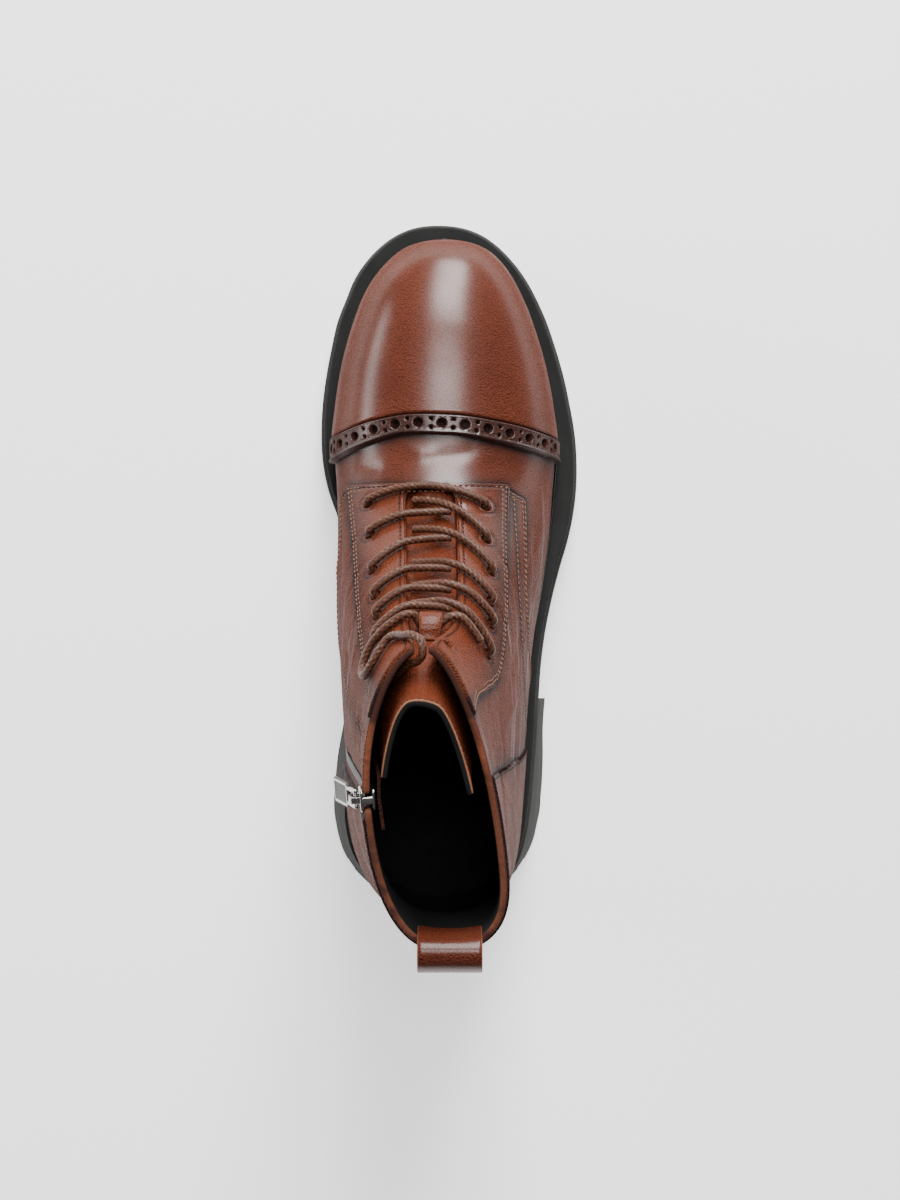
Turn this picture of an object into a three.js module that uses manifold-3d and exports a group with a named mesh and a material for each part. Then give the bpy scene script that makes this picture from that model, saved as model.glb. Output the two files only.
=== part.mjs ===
// Right ankle boot in burnished leather on a lugged rubber sole, modelled the way it is lasted and built.
// Millimetres. +X is the outer (lateral) side, +Y points to the toe, +Z is up.
// The origin is the middle of the heel's ground face.
import * as THREE from "three";
import { mergeVertices } from "three/addons/utils/BufferGeometryUtils.js";
import Module from "manifold-3d";

const wasm = await Module();
wasm.setup();

// Driving sizes
const LENGTH = 280; // outsole, heel back to toe tip
const BALL = 105; // outsole width across the ball
const HEIGHT = 170; // ground to the collar
const WALL = 2.2; // upper with its lining
const COLLAR_EDGE = 2; // bare edge of the upper over the counter
const OVERLAY = 1.2; // leather laid over the upper
const BAND_OVERLAY = 1.7; // brogued band behind the toe cap
const GAP = 0.3; // between pieces that touch
const BEAD_HEIGHT = 3; // glossy bead around the foot of the upper
const BEAD_DEPTH = 2.6;
const MIDSOLE = 7; // dark flange that the upper stands on
const RIM = 1.5; // how far the outsole stands out past the midsole
const HEEL_FLARE = 5.5; // how much wider the heel block is at the ground than at its top
const INSOLE = 3;
const LUG_DEPTH = 4;
const LUG_GROOVE = 4;
const TONGUE = 2.8;
const TONGUE_LEAN = 15; // how far the tongue's top falls back into the shaft
const TONGUE_OPEN = 6.2; // how far the top of its outer wing spreads
const TONGUE_ROUND = 4; // and how far its inner wing stands forward
const LACE = 3; // diameter
const EYELET = 4.8; // punched hole
const KEEPER = 9; // length of the tongue's lace keeper
const ZIP_CHAIN = 5.6; // width of the closed teeth
const ZIP_THICK = 1.8;
const ZIP_WELT = 3.2; // folded leather between the zip's slot and the counter
const ZIP_GUARD = 18; // width of the leather strip behind the zip
const GUARD_PAST = 4; // how far the guard goes on below the zip
const SLIDER_WIDTH = 8.4;
const SLIDER_LENGTH = 13;
const SLIDER_PLATE = 1.4;
const BRIDGE_WIDTH = 2.4;
const BRIDGE_LENGTH = 10;
const BRIDGE_BAR = 1.2;
const BRIDGE_POST = 1.6;
const TAB_WIDTH = 9.6;
const TAB_LENGTH = 23;
const TAB_THICK = 1.5;
const EYE_BAR = 1.5; // diameter of the tab's bar inside the slider's bridge
const LOOP_WIDTH = 22; // pull loop at the back of the collar
const LOOP_THICK = 1.8;
const LOOP_REACH = 8; // how far the pull loop bulges behind the collar

const table = (names, rows) => {
  const columns = names.split(" ");
  return rows.map((row) => Object.fromEntries(columns.map((name, i) => [name, row[i]])));
};

// Sections of the upper, toe to above the collar. Each lies on a plane from a point low down (vy, vz)
// to a point on top (dy, dz): upright at the toe, leaning back over the instep, level in the shaft.
// y in shares of LENGTH, z of HEIGHT. cv and cd are the middle's x low down and on top, medial and
// lateral the half widths, all in shares of BALL. hm and hl are how far up the plane each side is
// widest. pb and pt round the section below and above that, 2 for an ellipse and more for a box.
const SECTIONS = table("vy vz dy dz cv cd medial lateral hm hl pb pt", [
  [0.8286, 0.2471, 0.8286, 0.2471, 0.0248, 0.0248, 0.0, 0.0, 0.44, 0.44, 2.6, 2.2],
  [0.8204, 0.1882, 0.8204, 0.3, 0.0248, 0.0248, 0.1286, 0.1286, 0.44, 0.44, 2.7, 2.2],
  [0.7964, 0.15, 0.7964, 0.3471, 0.0238, 0.0219, 0.2124, 0.2124, 0.44, 0.44, 2.9, 2.2],
  [0.7586, 0.1235, 0.7586, 0.3824, 0.019, 0.0171, 0.28, 0.28, 0.44, 0.44, 3.2, 2.2],
  [0.7089, 0.1035, 0.7089, 0.4035, 0.0229, 0.0152, 0.3333, 0.3333, 0.44, 0.44, 3.4, 2.2],
  [0.6511, 0.09, 0.6511, 0.4141, 0.0286, 0.0133, 0.3771, 0.3771, 0.43, 0.43, 3.5, 2.2],
  [0.5929, 0.0841, 0.5929, 0.42, 0.0362, 0.0095, 0.4038, 0.4038, 0.42, 0.42, 3.6, 2.15],
  [0.5357, 0.0824, 0.5375, 0.4294, 0.0419, 0.0038, 0.419, 0.419, 0.41, 0.41, 3.6, 2.1],
  [0.475, 0.0871, 0.4857, 0.4588, 0.0457, -0.0038, 0.4076, 0.4076, 0.4, 0.38, 3.6, 2.1],
  [0.4071, 0.1012, 0.4429, 0.5106, 0.04, -0.0114, 0.3962, 0.4, 0.38, 0.35, 3.5, 2.15],
  [0.3286, 0.1235, 0.4054, 0.5694, 0.0248, -0.0171, 0.3848, 0.3848, 0.36, 0.32, 3.4, 2.25],
  [0.2429, 0.15, 0.3725, 0.6306, 0.0095, -0.021, 0.3695, 0.3638, 0.35, 0.3, 3.2, 2.35],
  [0.1571, 0.1735, 0.3457, 0.6894, 0.0038, -0.0248, 0.3543, 0.3448, 0.34, 0.29, 3.1, 2.4],
  [0.0714, 0.1871, 0.3221, 0.7459, 0.0019, -0.0286, 0.341, 0.3314, 0.34, 0.3, 3, 2.4],
  [-0.0179, 0.1882, 0.3021, 0.8012, 0.0019, -0.0324, 0.3276, 0.3181, 0.34, 0.31, 2.9, 2.35],
  [-0.0946, 0.2059, 0.2864, 0.8565, 0.0057, -0.0352, 0.3124, 0.301, 0.35, 0.31, 2.7, 2.25],
  [-0.1214, 0.3353, 0.2750, 0.9082, 0.0133, -0.0381, 0.2914, 0.2743, 0.37, 0.3, 2.5, 2.12],
  [-0.1129, 0.4882, 0.2686, 0.9529, 0.021, -0.04, 0.2705, 0.2495, 0.4, 0.28, 2.45, 2],
  [-0.1057, 0.6353, 0.2643, 0.9941, 0.0267, -0.0419, 0.2514, 0.2324, 0.43, 0.26, 2.45, 1.9],
  [-0.1086, 0.7882, 0.2621, 1.0318, 0.0305, -0.0429, 0.24, 0.221, 0.47, 0.24, 2.45, 1.82],
  [-0.1157, 0.9471, 0.2607, 1.0682, 0.0333, -0.0429, 0.2324, 0.2152, 0.5, 0.24, 2.45, 1.82],
  [-0.1193, 1.0824, 0.2607, 1.1200, 0.0343, -0.0429, 0.2324, 0.2152, 0.5, 0.24, 2.45, 1.82],
]);

// Side profile of the sole: y in shares of LENGTH, z of HEIGHT. top is the face that the upper stands
// on, ground the face that the outsole walks on, with the arch and the toe spring.
const PROFILE = table("y top ground", [
  [-0.1429, 0.2382, 0.168],
  [-0.1107, 0.2353, 0.168],
  [0.0, 0.2306, 0.164],
  [0.1071, 0.2212, 0.156],
  [0.1643, 0.2129, 0.144],
  [0.2143, 0.2, 0.124],
  [0.2857, 0.1788, 0.08],
  [0.3464, 0.16, 0.03],
  [0.3929, 0.147, 0.0],
  [0.4286, 0.1388, 0.0],
  [0.5, 0.1306, 0.0],
  [0.5714, 0.1294, 0.0],
  [0.6286, 0.1335, 0.0],
  [0.6714, 0.1395, 0.005],
  [0.7143, 0.1471, 0.013],
  [0.7857, 0.1647, 0.03],
  [0.8357, 0.1776, 0.046],
  [0.8714, 0.1859, 0.058],
]);

// Outline of the outsole from above: y in shares of LENGTH, x of BALL.
const SOLE = table("y medial lateral", [
  [-0.1214, 0.0, 0.0],
  [-0.118, -0.109, 0.109],
  [-0.1071, -0.186, 0.186],
  [-0.0893, -0.247, 0.249],
  [-0.0643, -0.295, 0.298],
  [-0.0321, -0.329, 0.331],
  [0.0071, -0.3486, 0.352],
  [0.05, -0.3524, 0.3648],
  [0.0929, -0.3514, 0.3743],
  [0.1357, -0.3438, 0.3819],
  [0.1786, -0.333, 0.388],
  [0.2286, -0.3162, 0.3981],
  [0.2786, -0.301, 0.4171],
  [0.3286, -0.3067, 0.4457],
  [0.3714, -0.3333, 0.4762],
  [0.4071, -0.3657, 0.5048],
  [0.4429, -0.3943, 0.5257],
  [0.4821, -0.4305, 0.539],
  [0.525, -0.4524, 0.541],
  [0.5643, -0.4571, 0.5333],
  [0.6054, -0.4524, 0.5143],
  [0.6464, -0.4381, 0.4905],
  [0.6857, -0.4181, 0.46],
  [0.7268, -0.3924, 0.4219],
  [0.7589, -0.3581, 0.3829],
  [0.7875, -0.3257, 0.34],
  [0.8125, -0.28, 0.2895],
  [0.8339, -0.2248, 0.2324],
  [0.85, -0.1638, 0.1705],
  [0.8607, -0.0914, 0.0943],
  [0.8643, -0.0038, -0.0038],
]);

// Outline of the heel block where it meets the ground, in the same shares.
const HEEL = table("y medial lateral", [
  [-0.1357, 0.0, 0.0],
  [-0.131, -0.119, 0.113],
  [-0.1179, -0.214, 0.205],
  [-0.0943, -0.2905, 0.2752],
  [-0.0736, -0.341, 0.3219],
  [-0.0529, -0.3733, 0.3543],
  [-0.0321, -0.3924, 0.3771],
  [-0.0114, -0.4048, 0.3895],
  [0.0093, -0.4124, 0.401],
  [0.03, -0.4124, 0.4048],
  [0.0507, -0.4086, 0.4095],
  [0.0921, -0.3971, 0.4133],
  [0.1336, -0.3771, 0.4133],
  [0.175, -0.3571, 0.421],
]);

// Edges of the panels, seen from above: x in shares of BALL, y of LENGTH.
const CAP_REAR = table("x y", [
  [-0.6, 0.487],
  [-0.3829, 0.5164],
  [-0.2381, 0.5386],
  [-0.1048, 0.55],
  [0.0476, 0.5486],
  [0.2381, 0.5364],
  [0.4695, 0.515],
  [0.62, 0.495],
]);
const CAP_FRONT = table("x y", [
  [-0.6, 0.5225],
  [-0.3752, 0.5521],
  [-0.2286, 0.57],
  [-0.0838, 0.5779],
  [0.0571, 0.5764],
  [0.2476, 0.5664],
  [0.4543, 0.5464],
  [0.62, 0.5264],
]);
const THROAT = table("x y", [
  [-0.12, 0.457],
  [-0.1143, 0.41],
  [-0.1086, 0.3214],
  [-0.098, 0.285],
  [-0.081, 0.2536],
  [-0.081, 0.2],
  [-0.018, 0.2],
  [-0.018, 0.2614],
  [0.05, 0.285],
  [0.0771, 0.3214],
  [0.074, 0.41],
  [0.0676, 0.457],
  [0.055, 0.47],
  [0.01, 0.4768],
  [-0.06, 0.4768],
  [-0.105, 0.47],
]);
const STAY_MEDIAL = table("x y", [
  [-0.335, 0.48],
  [-0.302, 0.375],
  [-0.281, 0.3057],
  [-0.26, 0.2557],
  [-0.2457, 0.2232],
  [-0.221, 0.185],
  [-0.2, 0.18],
  [-0.03, 0.2],
  [-0.03, 0.48],
]);
const STAY_LATERAL = table("x y", [
  [0.262, 0.48],
  [0.2514, 0.3964],
  [0.2467, 0.3179],
  [0.2248, 0.2414],
  [0.1971, 0.2071],
  [0.139, 0.1964],
  [0.12, 0.19],
  [-0.03, 0.2],
  [-0.03, 0.48],
]);

// Middle of the zip on the inner side of the shaft, from the side: y in shares of LENGTH, z of HEIGHT.
const ZIP_FOOT = { y: 0.1129, z: 0.4 };
const ZIP_HEAD = { y: 0.0679, z: 0.965 };

// Rows of lace holes, up the throat: um and ul are each side's place between the upper's sections,
// medial and lateral the x in shares of BALL.
const HOLES = table("um medial ul lateral", [
  [8.72, -0.2481, 8.87, 0.1736],
  [9.77, -0.2375, 10.01, 0.1722],
  [11.15, -0.2223, 11.15, 0.1852],
  [12.33, -0.2083, 12.38, 0.1801],
  [13.37, -0.1987, 13.28, 0.1792],
  [14.58, -0.1961, 14.6, 0.1674],
  [16.7, -0.135, 16.6, 0.032],
]);

// The bow's visible lace: places on the facings, as above, lying LACE_LIE over them.
const BOW = table("u x", [
  [14.87, 0.1215],
  [14.5, 0.085],
  [14.35, 0.062],
]);
const BOW_LOOP = table("u x", [
  [14.5, -0.094],
  [14.6, -0.12],
  [14.8, -0.16],
  [15.0, -0.2],
  [15.45, -0.2255],
  [16.05, -0.2205],
  [16.35, -0.1905],
  [16.05, -0.1655],
  [15.8, -0.14],
  [16.1, -0.115],
  [16.7, -0.097],
]);

// Catmull-Rom through a table by row number. The first section is the toe's pole, so the row before
// it is the second one turned over.
function sectionAt(u) {
  const last = SECTIONS.length - 1;
  const k = Math.min(Math.floor(u), last - 1);
  const t = u - k;
  const second = SECTIONS[1];
  const turned = { ...second, vy: second.dy, vz: second.dz, dy: second.vy, dz: second.vz };
  turned.medial = -second.medial;
  turned.lateral = -second.lateral;
  const p0 = k > 0 ? SECTIONS[k - 1] : turned;
  const p1 = SECTIONS[k];
  const p2 = SECTIONS[k + 1];
  const p3 = SECTIONS[Math.min(k + 2, last)];
  const row = {};
  for (const name of Object.keys(p1)) {
    const a = 2 * p1[name];
    const b = p2[name] - p0[name];
    const c = 2 * p0[name] - 5 * p1[name] + 4 * p2[name] - p3[name];
    const d = 3 * p1[name] - p0[name] - 3 * p2[name] + p3[name];
    row[name] = (a + b * t + c * t * t + d * t * t * t) / 2;
  }
  return row;
}

// Value of a column at y, through a table sorted by y, by monotone cubic.
function along(rows, name, y) {
  const n = rows.length;
  if (y <= rows[0].y) return rows[0][name];
  if (y >= rows[n - 1].y) return rows[n - 1][name];
  const i = rows.findIndex((row) => row.y > y) - 1;
  const slope = (j) => (rows[j + 1][name] - rows[j][name]) / (rows[j + 1].y - rows[j].y);
  const tangent = (j) => {
    if (j === 0) return slope(0);
    if (j === n - 1) return slope(n - 2);
    const a = slope(j - 1);
    const b = slope(j);
    return a * b <= 0 ? 0 : (2 * a * b) / (a + b);
  };
  const h = rows[i + 1].y - rows[i].y;
  const t = (y - rows[i].y) / h;
  const a = rows[i][name] * (1 + 2 * t) * (1 - t) ** 2;
  const b = h * tangent(i) * t * (1 - t) ** 2;
  const c = rows[i + 1][name] * t * t * (3 - 2 * t);
  const d = h * tangent(i + 1) * t * t * (t - 1);
  return a + b + c + d;
}
const soleTop = (y) => along(PROFILE, "top", y / LENGTH) * HEIGHT;
const soleGround = (y) => along(PROFILE, "ground", y / LENGTH) * HEIGHT;
const collarZ = (y) => HEIGHT * (0.972 + 0.035 * THREE.MathUtils.smoothstep(y / LENGTH, 0.02, 0.26));

// A point of the lasted upper's face. turn runs round the section: -90 degrees low down, 0 on the
// outer side, 90 on top and 180 on the inner side.
function facePoint(u, turn) {
  const row = sectionAt(u);
  const sine = Math.sin(turn);
  const cosine = Math.cos(turn);
  const power = 2 / (sine < 0 ? row.pb : row.pt);
  const wide = cosine < 0 ? row.hm : row.hl;
  const up = wide + (sine < 0 ? wide : 1 - wide) * Math.sign(sine) * Math.abs(sine) ** power;
  const out = Math.sign(cosine) * Math.abs(cosine) ** power;
  const x = row.cv + (row.cd - row.cv) * up + out * (cosine < 0 ? row.medial : row.lateral);
  const y = row.vy + (row.dy - row.vy) * up;
  const z = row.vz + (row.dz - row.vz) * up;
  return new THREE.Vector3(x * BALL, y * LENGTH, z * HEIGHT);
}

// The same point moved off the face along its normal.
function skin(u, turn, off = 0) {
  const p = facePoint(u, turn);
  if (u < 1e-6) return p.add(new THREE.Vector3(0, off, 0));
  const last = SECTIONS.length - 1;
  const du = facePoint(Math.min(u + 0.12, last), turn).sub(facePoint(Math.max(u - 0.12, 0), turn));
  const dt = facePoint(u, turn + 0.05).sub(facePoint(u, turn - 0.05));
  return p.addScaledVector(dt.cross(du).normalize(), off);
}

// Turn, on the top half of section u, of the point at x.
function turnAt(u, x) {
  let low = 0;
  let high = Math.PI;
  for (let i = 0; i < 40; i += 1) {
    const middle = (low + high) / 2;
    if (facePoint(u, middle).x > x) low = middle;
    else high = middle;
  }
  return (low + high) / 2;
}
const onTop = (u, x, off) => skin(u, turnAt(u, x), off);

// Turn and section of the point on the inner side at y and z.
function innerAt(y, z) {
  let best = { u: 16, turn: Math.PI, miss: Infinity };
  let spanU = 5;
  let spanT = 0.9;
  for (let round = 0; round < 14; round += 1) {
    const from = { ...best };
    for (let i = -4; i <= 4; i += 1) {
      for (let j = -4; j <= 4; j += 1) {
        const u = Math.min(Math.max(from.u + (spanU * i) / 4, 8), SECTIONS.length - 1.01);
        const turn = from.turn + (spanT * j) / 4;
        const p = facePoint(u, turn);
        const miss = Math.hypot(p.y - y, p.z - z);
        if (miss < best.miss) best = { u, turn, miss };
      }
    }
    spanU *= 0.5;
    spanT *= 0.5;
  }
  return best;
}

// Solids
function solidOf(points, faces) {
  let geometry = new THREE.BufferGeometry();
  geometry.setAttribute("position", new THREE.Float32BufferAttribute(points.flat(), 3));
  geometry.setIndex(faces);
  geometry = mergeVertices(geometry, 1e-4);
  const triVerts = [];
  const index = geometry.index.array;
  for (let i = 0; i < index.length; i += 3) {
    const [a, b, c] = index.subarray(i, i + 3);
    if (a !== b && b !== c && a !== c) triVerts.push(a, b, c);
  }
  const made = new wasm.Mesh({
    numProp: 3,
    vertProperties: new Float32Array(geometry.attributes.position.array),
    triVerts: new Uint32Array(triVerts),
  });
  return new wasm.Manifold(made);
}
function fromGeometry(geometry) {
  const bare = geometry.clone();
  bare.deleteAttribute("normal");
  bare.deleteAttribute("uv");
  const merged = mergeVertices(bare, 1e-4);
  return solidOf(
    Array.from({ length: merged.attributes.position.count }, (_, i) =>
      new THREE.Vector3().fromBufferAttribute(merged.attributes.position, i).toArray(),
    ),
    Array.from(merged.index.array),
  );
}
function meshOf(name, solid, material) {
  const made = solid.getMesh();
  const geometry = new THREE.BufferGeometry();
  const n = made.numProp;
  const positions = new Float32Array(made.numVert * 3);
  for (let i = 0; i < made.numVert; i += 1) {
    positions.set(made.vertProperties.subarray(i * n, i * n + 3), i * 3);
  }
  geometry.setAttribute("position", new THREE.BufferAttribute(positions, 3));
  geometry.setIndex(new THREE.BufferAttribute(made.triVerts, 1));
  geometry.computeVertexNormals();
  const mesh = new THREE.Mesh(geometry, material);
  mesh.name = name;
  return mesh;
}

// Rings of points joined in order and closed at both ends.
function loft(rings) {
  const n = rings[0].length;
  const faces = [];
  const points = rings.flat();
  for (let k = 0; k < rings.length - 1; k += 1) {
    for (let j = 0; j < n; j += 1) {
      const a = k * n + j;
      const b = k * n + ((j + 1) % n);
      faces.push(a, b, b + n, a, b + n, a + n);
    }
  }
  for (const [start, flip] of [
    [0, true],
    [(rings.length - 1) * n, false],
  ]) {
    for (let j = 1; j < n - 1; j += 1) {
      faces.push(...(flip ? [start, start + j + 1, start + j] : [start, start + j, start + j + 1]));
    }
  }
  return solidOf(points, faces);
}

// A strip of the face between two offsets, from section u0 to u1 and turn t0 to t1.
function patch(us, turns, inner, outer, move = (p) => p) {
  const rings = us.map((u) => {
    const span = turns(u);
    const low = span.map((turn) => move(skin(u, turn, inner(u, turn)), u, turn).toArray());
    const high = span.map((turn) => move(skin(u, turn, outer(u, turn)), u, turn).toArray());
    return [...high, ...low.reverse()];
  });
  const m = rings[0].length / 2;
  const n = 2 * m;
  const faces = [];
  for (let k = 0; k < rings.length - 1; k += 1) {
    for (let j = 0; j < n; j += 1) {
      const a = k * n + j;
      const b = k * n + ((j + 1) % n);
      faces.push(a, b, b + n, a, b + n, a + n);
    }
  }
  for (const [start, flip] of [
    [0, true],
    [(rings.length - 1) * n, false],
  ]) {
    for (let j = 0; j < m - 1; j += 1) {
      const quad = [start + j, start + j + 1, start + n - 2 - j, start + n - 1 - j];
      if (flip) quad.reverse();
      faces.push(quad[0], quad[1], quad[2], quad[0], quad[2], quad[3]);
    }
  }
  return solidOf(rings.flat(), faces);
}

// The whole closed form of the foot and shaft, moved off the face by an amount.
const FORM_STEPS = [
  0.45, 1, 1.7, 2.4, 3.2, 4.1, 5.1, 6.2, 7.1, 8, 8.9, 9.8, 10.9, 12, 13.1, 14.2, 14.9, 15.4, 16, 17, 18.2, 19.5, 20.5,
  21,
];
const TURNS = [];
for (const [from, to, count] of [
  [-90, 0, 4],
  [0, 90, 6],
  [90, 180, 6],
  [180, 270, 4],
]) {
  for (let i = 0; i < count; i += 1) TURNS.push(THREE.MathUtils.degToRad(from + ((to - from) * i) / count));
}
function form(off) {
  const points = [skin(0, 0, off).toArray()];
  const faces = [];
  const n = TURNS.length;
  for (const u of FORM_STEPS) points.push(...TURNS.map((turn) => skin(u, turn, off).toArray()));
  const middle = new THREE.Vector3();
  for (let j = 0; j < n; j += 1) middle.add(skin(SECTIONS.length - 1, TURNS[j], off));
  points.push(middle.divideScalar(n).toArray());
  for (let j = 0; j < n; j += 1) {
    const next = (j + 1) % n;
    faces.push(0, 1 + next, 1 + j);
    for (let k = 0; k < FORM_STEPS.length - 1; k += 1) {
      const a = 1 + k * n + j;
      const b = 1 + k * n + next;
      faces.push(a, b, b + n, a, b + n, a + n);
    }
    const start = 1 + (FORM_STEPS.length - 1) * n;
    faces.push(start + j, start + next, points.length - 1);
  }
  return solidOf(points, faces);
}

// Straight blocks with a drawn outline, across the boot (seen from the side) or upright (from above).
function sideBlock(outline, x0, x1) {
  const shape = new THREE.Shape(outline.map(([y, z]) => new THREE.Vector2(y, z)));
  const geometry = new THREE.ExtrudeGeometry(shape, { depth: x1 - x0, bevelEnabled: false, steps: 1 });
  const turn = new THREE.Matrix4().set(0, 0, 1, x0, 1, 0, 0, 0, 0, 1, 0, 0, 0, 0, 0, 1);
  return fromGeometry(geometry.applyMatrix4(turn));
}
function topBlock(outline, z0, z1) {
  const shape = new THREE.Shape(outline.map(([x, y]) => new THREE.Vector2(x, y)));
  const geometry = new THREE.ExtrudeGeometry(shape, { depth: z1 - z0, bevelEnabled: false, steps: 1 });
  return fromGeometry(geometry.translate(0, 0, z0));
}
const scaled = (rows) => rows.map((row) => [row.x * BALL, row.y * LENGTH]);
const FRONT = LENGTH;
const BACK = -LENGTH * 0.3;
const SIDE = BALL;
const stations = (from, to, count) => Array.from({ length: count + 1 }, (_, i) => from + ((to - from) * i) / count);

const soleStations = stations(-0.13 * LENGTH, 0.87 * LENGTH, 20);

// Everything under the sole's top face raised by lift.
function underSole(lift) {
  const line = soleStations.map((y) => [y, soleTop(y) + lift]);
  const end = [FRONT, line.at(-1)[1]];
  const start = [BACK, line[0][1]];
  return sideBlock([[BACK, -HEIGHT], [FRONT, -HEIGHT], end, ...line.reverse(), start], -SIDE, SIDE);
}
// Everything over the sole's top face raised by lift.
function overSole(lift) {
  const line = soleStations.map((y) => [y, soleTop(y) + lift]);
  return sideBlock([...line, [FRONT, 2 * HEIGHT], [BACK, 2 * HEIGHT]], -SIDE, SIDE);
}
// Everything over the collar, lowered by drop.
function overCollar(drop) {
  const line = stations(-0.15 * LENGTH, 0.3 * LENGTH, 7).map((y) => [y, collarZ(y) - drop]);
  const start = [BACK, line[0][1]];
  const end = [FRONT, line.at(-1)[1]];
  return sideBlock([start, ...line, end, [FRONT, 2 * HEIGHT], [BACK, 2 * HEIGHT]], -SIDE, SIDE);
}
// A strip along the zip, half wide to each side, from the medial side to the middle.
function zipStrip(half, below, above) {
  const foot = new THREE.Vector2(ZIP_FOOT.y * LENGTH, ZIP_FOOT.z * HEIGHT);
  const head = new THREE.Vector2(ZIP_HEAD.y * LENGTH, ZIP_HEAD.z * HEIGHT);
  const way = head.clone().sub(foot).normalize();
  const side = new THREE.Vector2(-way.y, way.x).multiplyScalar(half);
  const low = foot.clone().addScaledVector(way, -below);
  const high = head.clone().addScaledVector(way, above);
  const corners = [low.clone().sub(side), high.clone().sub(side), high.clone().add(side), low.clone().add(side)];
  return sideBlock(corners.map((p) => [p.x, p.y]).reverse(), -SIDE, -0.02 * BALL);
}

// A flat piece of the sole from rows of the outline. layers go up: each has an inset and a height.
function slab(rows, layers) {
  const ring = [
    ...rows.map((row) => new THREE.Vector2(row.lateral * BALL, row.y * LENGTH)),
    ...rows.toReversed().map((row) => new THREE.Vector2(row.medial * BALL, row.y * LENGTH)),
  ];
  const n = ring.length;
  const clear = (a, b) => a.distanceTo(b) > 1e-6;
  const normals = ring.map((p, j) => {
    let before = (j + n - 1) % n;
    let after = (j + 1) % n;
    while (!clear(ring[before], p)) before = (before + n - 1) % n;
    while (!clear(ring[after], p)) after = (after + 1) % n;
    const a = p.clone().sub(ring[before]).normalize();
    const b = ring[after].clone().sub(p).normalize();
    const out = new THREE.Vector2(a.y + b.y, -a.x - b.x).normalize();
    return out.divideScalar(Math.max(0.5, out.x * a.y - out.y * a.x));
  });
  const points = [];
  for (const { inset, z } of layers) {
    ring.forEach((p, j) => {
      const q = p.clone().addScaledVector(normals[j], -inset);
      points.push([q.x, q.y, z(p.y)]);
    });
  }
  const faces = [];
  for (let k = 0; k < layers.length - 1; k += 1) {
    for (let j = 0; j < n; j += 1) {
      const a = k * n + j;
      const b = k * n + ((j + 1) % n);
      faces.push(a, b, b + n, a, b + n, a + n);
    }
  }
  const top = (layers.length - 1) * n;
  for (let i = 0; i < rows.length - 1; i += 1) {
    const a = i;
    const b = i + 1;
    const c = n - 2 - i;
    const d = n - 1 - i;
    faces.push(a, c, b, a, d, c, top + a, top + b, top + c, top + a, top + c, top + d);
  }
  return solidOf(points, faces);
}

// A round cord or bar along points.
function tube(points, diameter, steps, sides = 8) {
  const path = new THREE.CatmullRomCurve3(points, false, "centripetal");
  const round = stations(0, 2 * Math.PI, sides)
    .slice(0, sides)
    .map((t) => new THREE.Vector2(Math.cos(t), Math.sin(t)).multiplyScalar(diameter / 2));
  return fromGeometry(
    new THREE.ExtrudeGeometry(new THREE.Shape(round), { steps, extrudePath: path, bevelEnabled: false }),
  );
}
function boxAt(sizes, place) {
  return fromGeometry(new THREE.BoxGeometry(...sizes).applyMatrix4(place));
}
function rodAt(diameter, length, place, sides = 12) {
  return fromGeometry(new THREE.CylinderGeometry(diameter / 2, diameter / 2, length, sides).applyMatrix4(place));
}
const join = (pieces) => pieces.reduce((all, piece) => all.add(piece));

// Colours
const finish = (color, roughness, metalness = 0) => new THREE.MeshStandardMaterial({ color, roughness, metalness });
const leather = finish(0x7a4630, 0.35);
const darkLeather = finish(0x5c3426, 0.35);
const edgeLeather = finish(0x8a5236, 0.45);
const rubber = finish(0x34322f, 0.7);
const paleRubber = finish(0x5f5c57, 0.8);
const gloss = finish(0x1c1a19, 0.25);
const lining = finish(0x1a1817, 0.85);
const cord = finish(0x6f4e38, 0.6);
const silver = finish(0xc9c9c6, 0.25, 1);

// Upper: one hollow wall, open at the collar, along the throat, at the zip and underneath.
const outside = form(0);
const inside = form(-WALL);
const low = underSole(GAP);
const high = overCollar(0);
const throat = topBlock(scaled(THROAT), 0.2 * HEIGHT, 2 * HEIGHT);
const zipSlot = zipStrip(ZIP_CHAIN / 2 + GAP, 0, HEIGHT);
const holes = [];
for (const row of HOLES) {
  for (const [u, x] of [
    [row.um, row.medial],
    [row.ul, row.lateral],
  ]) {
    const from = onTop(u, x * BALL, -WALL - OVERLAY);
    const to = onTop(u, x * BALL, 2 * OVERLAY + GAP);
    const place = new THREE.Matrix4().compose(
      from.clone().add(to).divideScalar(2),
      new THREE.Quaternion().setFromUnitVectors(new THREE.Vector3(0, 1, 0), to.clone().sub(from).normalize()),
      new THREE.Vector3(1, 1, 1),
    );
    holes.push(rodAt(EYELET, from.distanceTo(to), place, 6));
  }
}
let upper = outside.subtract(inside).subtract(low).subtract(high).subtract(throat).subtract(zipSlot);
for (const hole of holes) upper = upper.subtract(hole);

// Overlays: cut from a thin layer over the upper.
const raised = form(GAP);
const overlayFace = form(GAP + OVERLAY);
const overBead = underSole(2 * GAP + BEAD_HEIGHT);
const layer = overlayFace.subtract(raised).subtract(overBead).subtract(high);
const capFront = scaled(CAP_FRONT);
const capRear = scaled(CAP_REAR);
const floorZ = 0;
const capZ = 0.6 * HEIGHT;
const toeCap = layer.intersect(
  topBlock([...capFront.map(([x, y]) => [x, y + GAP]), [SIDE, FRONT], [-SIDE, FRONT]], floorZ, capZ),
);
const bandLayer = form(GAP + BAND_OVERLAY).subtract(raised).subtract(overBead);
const capBand = bandLayer.intersect(topBlock([...capRear, ...capFront.toReversed()], floorZ, capZ));
const stayOver = (rows) =>
  layer.intersect(topBlock(scaled(rows).reverse(), 0.3 * HEIGHT, 2 * HEIGHT)).subtract(throat);
const stayJoin = -0.03 * BALL - GAP;
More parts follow.
